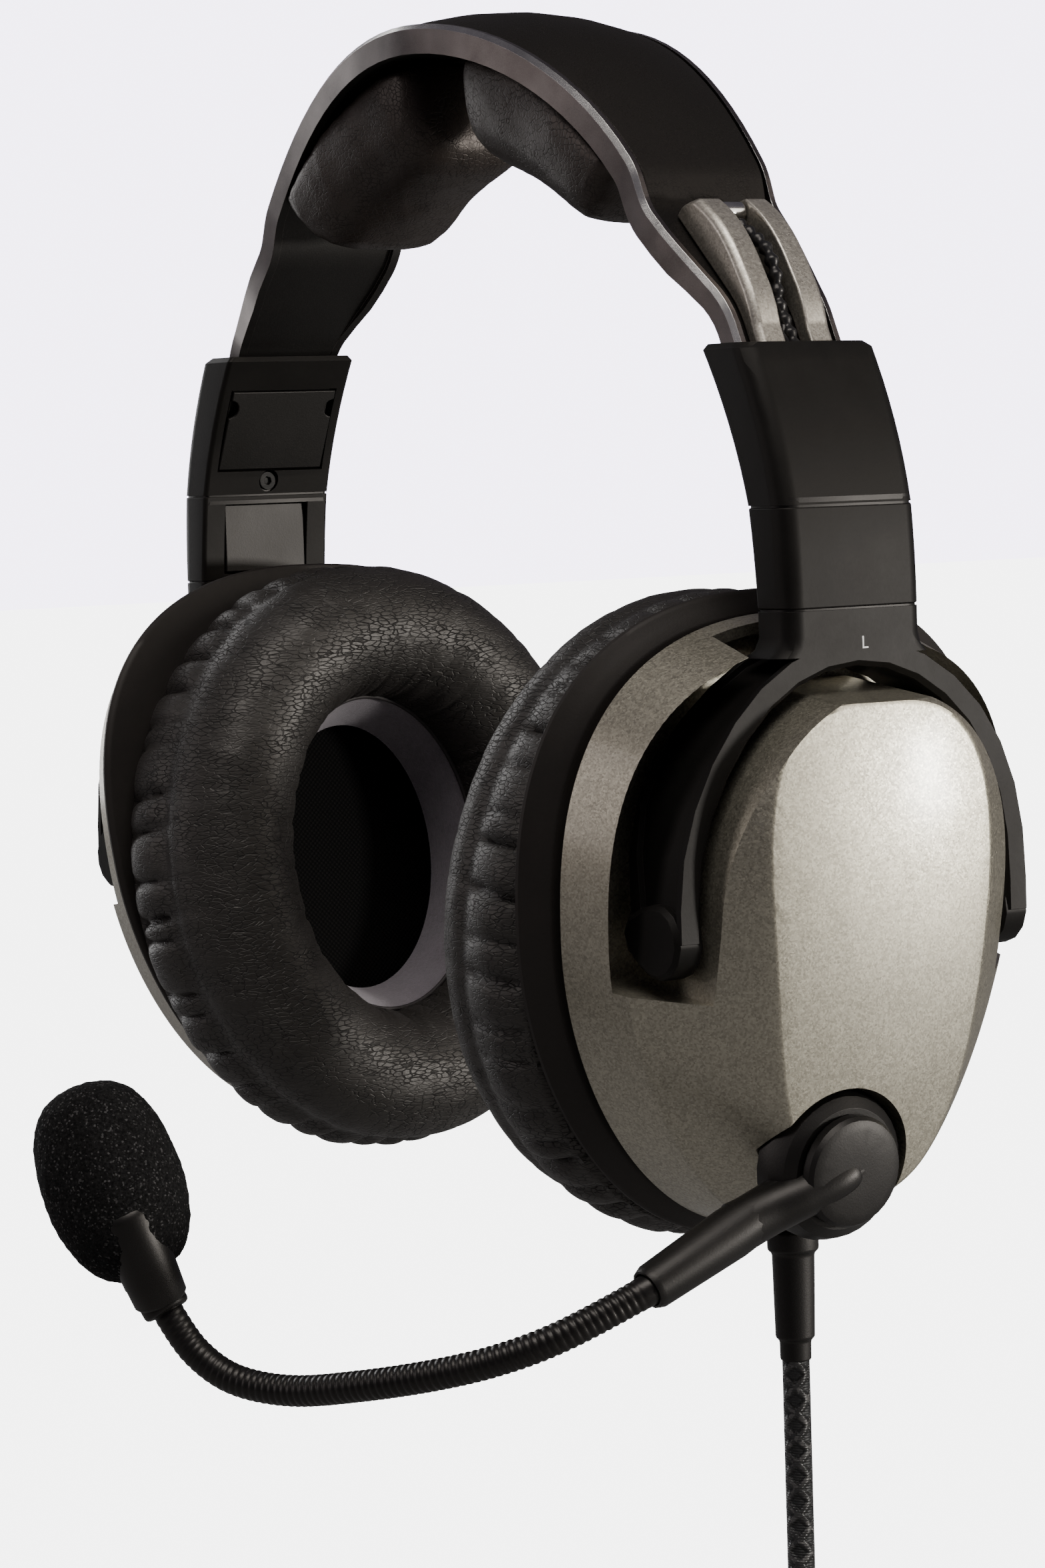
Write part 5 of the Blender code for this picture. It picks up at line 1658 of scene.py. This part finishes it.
@dataclass
class Stem:
    """One sleeve with its plate, block and screws, and the stirrup that turns under it."""

    side: Side
    letter_size: float = 2.7
    seam_band: float = 1.4
    seam_share: float = 0.975
    arm_middle: float = -2.0
    arm_grow: float = 3.2
    letter_drop: float = 6.0
    letter_shift: float = 1.2

    def build_letter(self) -> None:
        """Plain side letter on the outer face of the stirrup's head."""
        node = "yoke_" + self.side.tag
        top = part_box(node)[1].z / MM
        sign = self.side.value
        head = [v.co / MM for v in frame["nodes"][node].data.vertices if v.co.z / MM > top - 4.0]
        x = sign * (max(sign * p.x for p in head) + 0.02)
        curve = bpy.data.curves.new("side_letter_" + self.side.tag, "FONT")
        curve.body = "L" if self.side is Side.LEFT else "R"
        curve.size = self.letter_size * MM
        curve.extrude = 0.03 * MM
        curve.align_x = "CENTER"
        letter = bpy.data.objects.new("side_letter_" + self.side.tag, curve)
        bpy.context.scene.collection.objects.link(letter)
        turn = Matrix(((0, 0, sign), (sign, 0, 0), (0, 1, 0))).to_4x4()
        spot = Vector((x, sign * self.letter_shift, top - self.letter_drop))
        letter.matrix_world = Matrix.Translation(spot * MM) @ turn
        place_piece(letter, self.side.tag + "_stirrup", "letter")

    def build_gasket(self, node: str, body: str, reach: float) -> None:
        """Dark insert that closes the seam above a piece; it is painted shade standing in for the shadow
        inside the seam.

        Args:
            node: CAD node under the seam.
            body: body that the gasket rides on.
            reach: how far it stands above the node's top, in millimetres.
        """
        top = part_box(node)[1].z / MM
        rim = [v.co / MM for v in frame["nodes"][node].data.vertices if v.co.z / MM > top - self.seam_band]
        x, y = (0.5 * (min(p[axis] for p in rim) + max(p[axis] for p in rim)) for axis in (0, 1))
        work = bmesh.new()
        for p in rim:
            spot = (x + (p.x - x) * self.seam_share, y + (p.y - y) * self.seam_share)
            for z in (top - self.seam_band, top + reach):
                work.verts.new(Vector((*spot, z)) * MM)
        hull = bmesh.ops.convex_hull(work, input=work.verts)
        spare = list(set(hull["geom_interior"]) | set(hull["geom_unused"]))
        bmesh.ops.delete(work, geom=spare, context="VERTS")
        seam_shade_insert = mesh_piece("gasket_" + node, work)
        place_piece(seam_shade_insert, body, "plate_plastic")

    def build_stirrup(self) -> None:
        """Stirrup with full rounded arms that fill the pockets of the cup."""
        node = "yoke_" + self.side.tag
        piece = cad_copy(node, node + "_skin")
        cup = EarCup(self.side)
        for vertex in piece.data.vertices:
            point = vertex.co / MM
            local = Vector((point.x, 0.0, point.z)) - cup.origin
            n, z = local.dot(cup.out), local.dot(cup.up)
            share = ease(self.arm_middle - n, 0.0, 4.0) * (1 - ease(z, 22.0, 36.0))
            move = cup.out * (-self.arm_grow * share)
            vertex.co = (point + Vector((move.x, 0.0, move.z))) * MM
        soften(piece, 1.3, 3)
        place_piece(piece, self.side.tag + "_stirrup", "yoke_paint", node)

    def build(self) -> None:
        """Make the whole stem and stirrup."""
        tag = self.side.tag
        # Dark seam inserts: painted shade in the seams above the stem block and the stirrup.
        self.build_gasket("stem_block_" + tag, tag + "_stem", self.seam_band)
        self.build_gasket("yoke_" + tag, tag + "_stirrup", 0.28)
        self.build_stirrup()
        for node, width in (("sleeve_shell_", 0.4), ("sleeve_plate_", 0.2), ("sleeve_screw_", 0.12),
                            ("stem_block_", 0.3), ("stem_cover_", 0.2),
                            ("yoke_screw_", 0.12), ("pivot_pin_front_", 0.2), ("pivot_pin_rear_", 0.2)):
            refined(node + tag, width)
        WARDROBE.dress(frame["nodes"]["swivel_pin_" + tag], SLOT_OF["swivel_pin_" + tag])
        self.build_letter()


def main() -> None:
    """Build the studio and the headset, piece by piece."""
    Studio().build()
    Cable().build()
    refined("cable_boot", 0.35)
    Headband().build()
    cups = {side: EarCup(side) for side in Side}
    for side in Side:
        Stem(side).build()
        cups[side].build()
    Boom(cups[Side.LEFT]).build()
    LOG.info("sizes written")


if __name__ == "__main__":
    main()
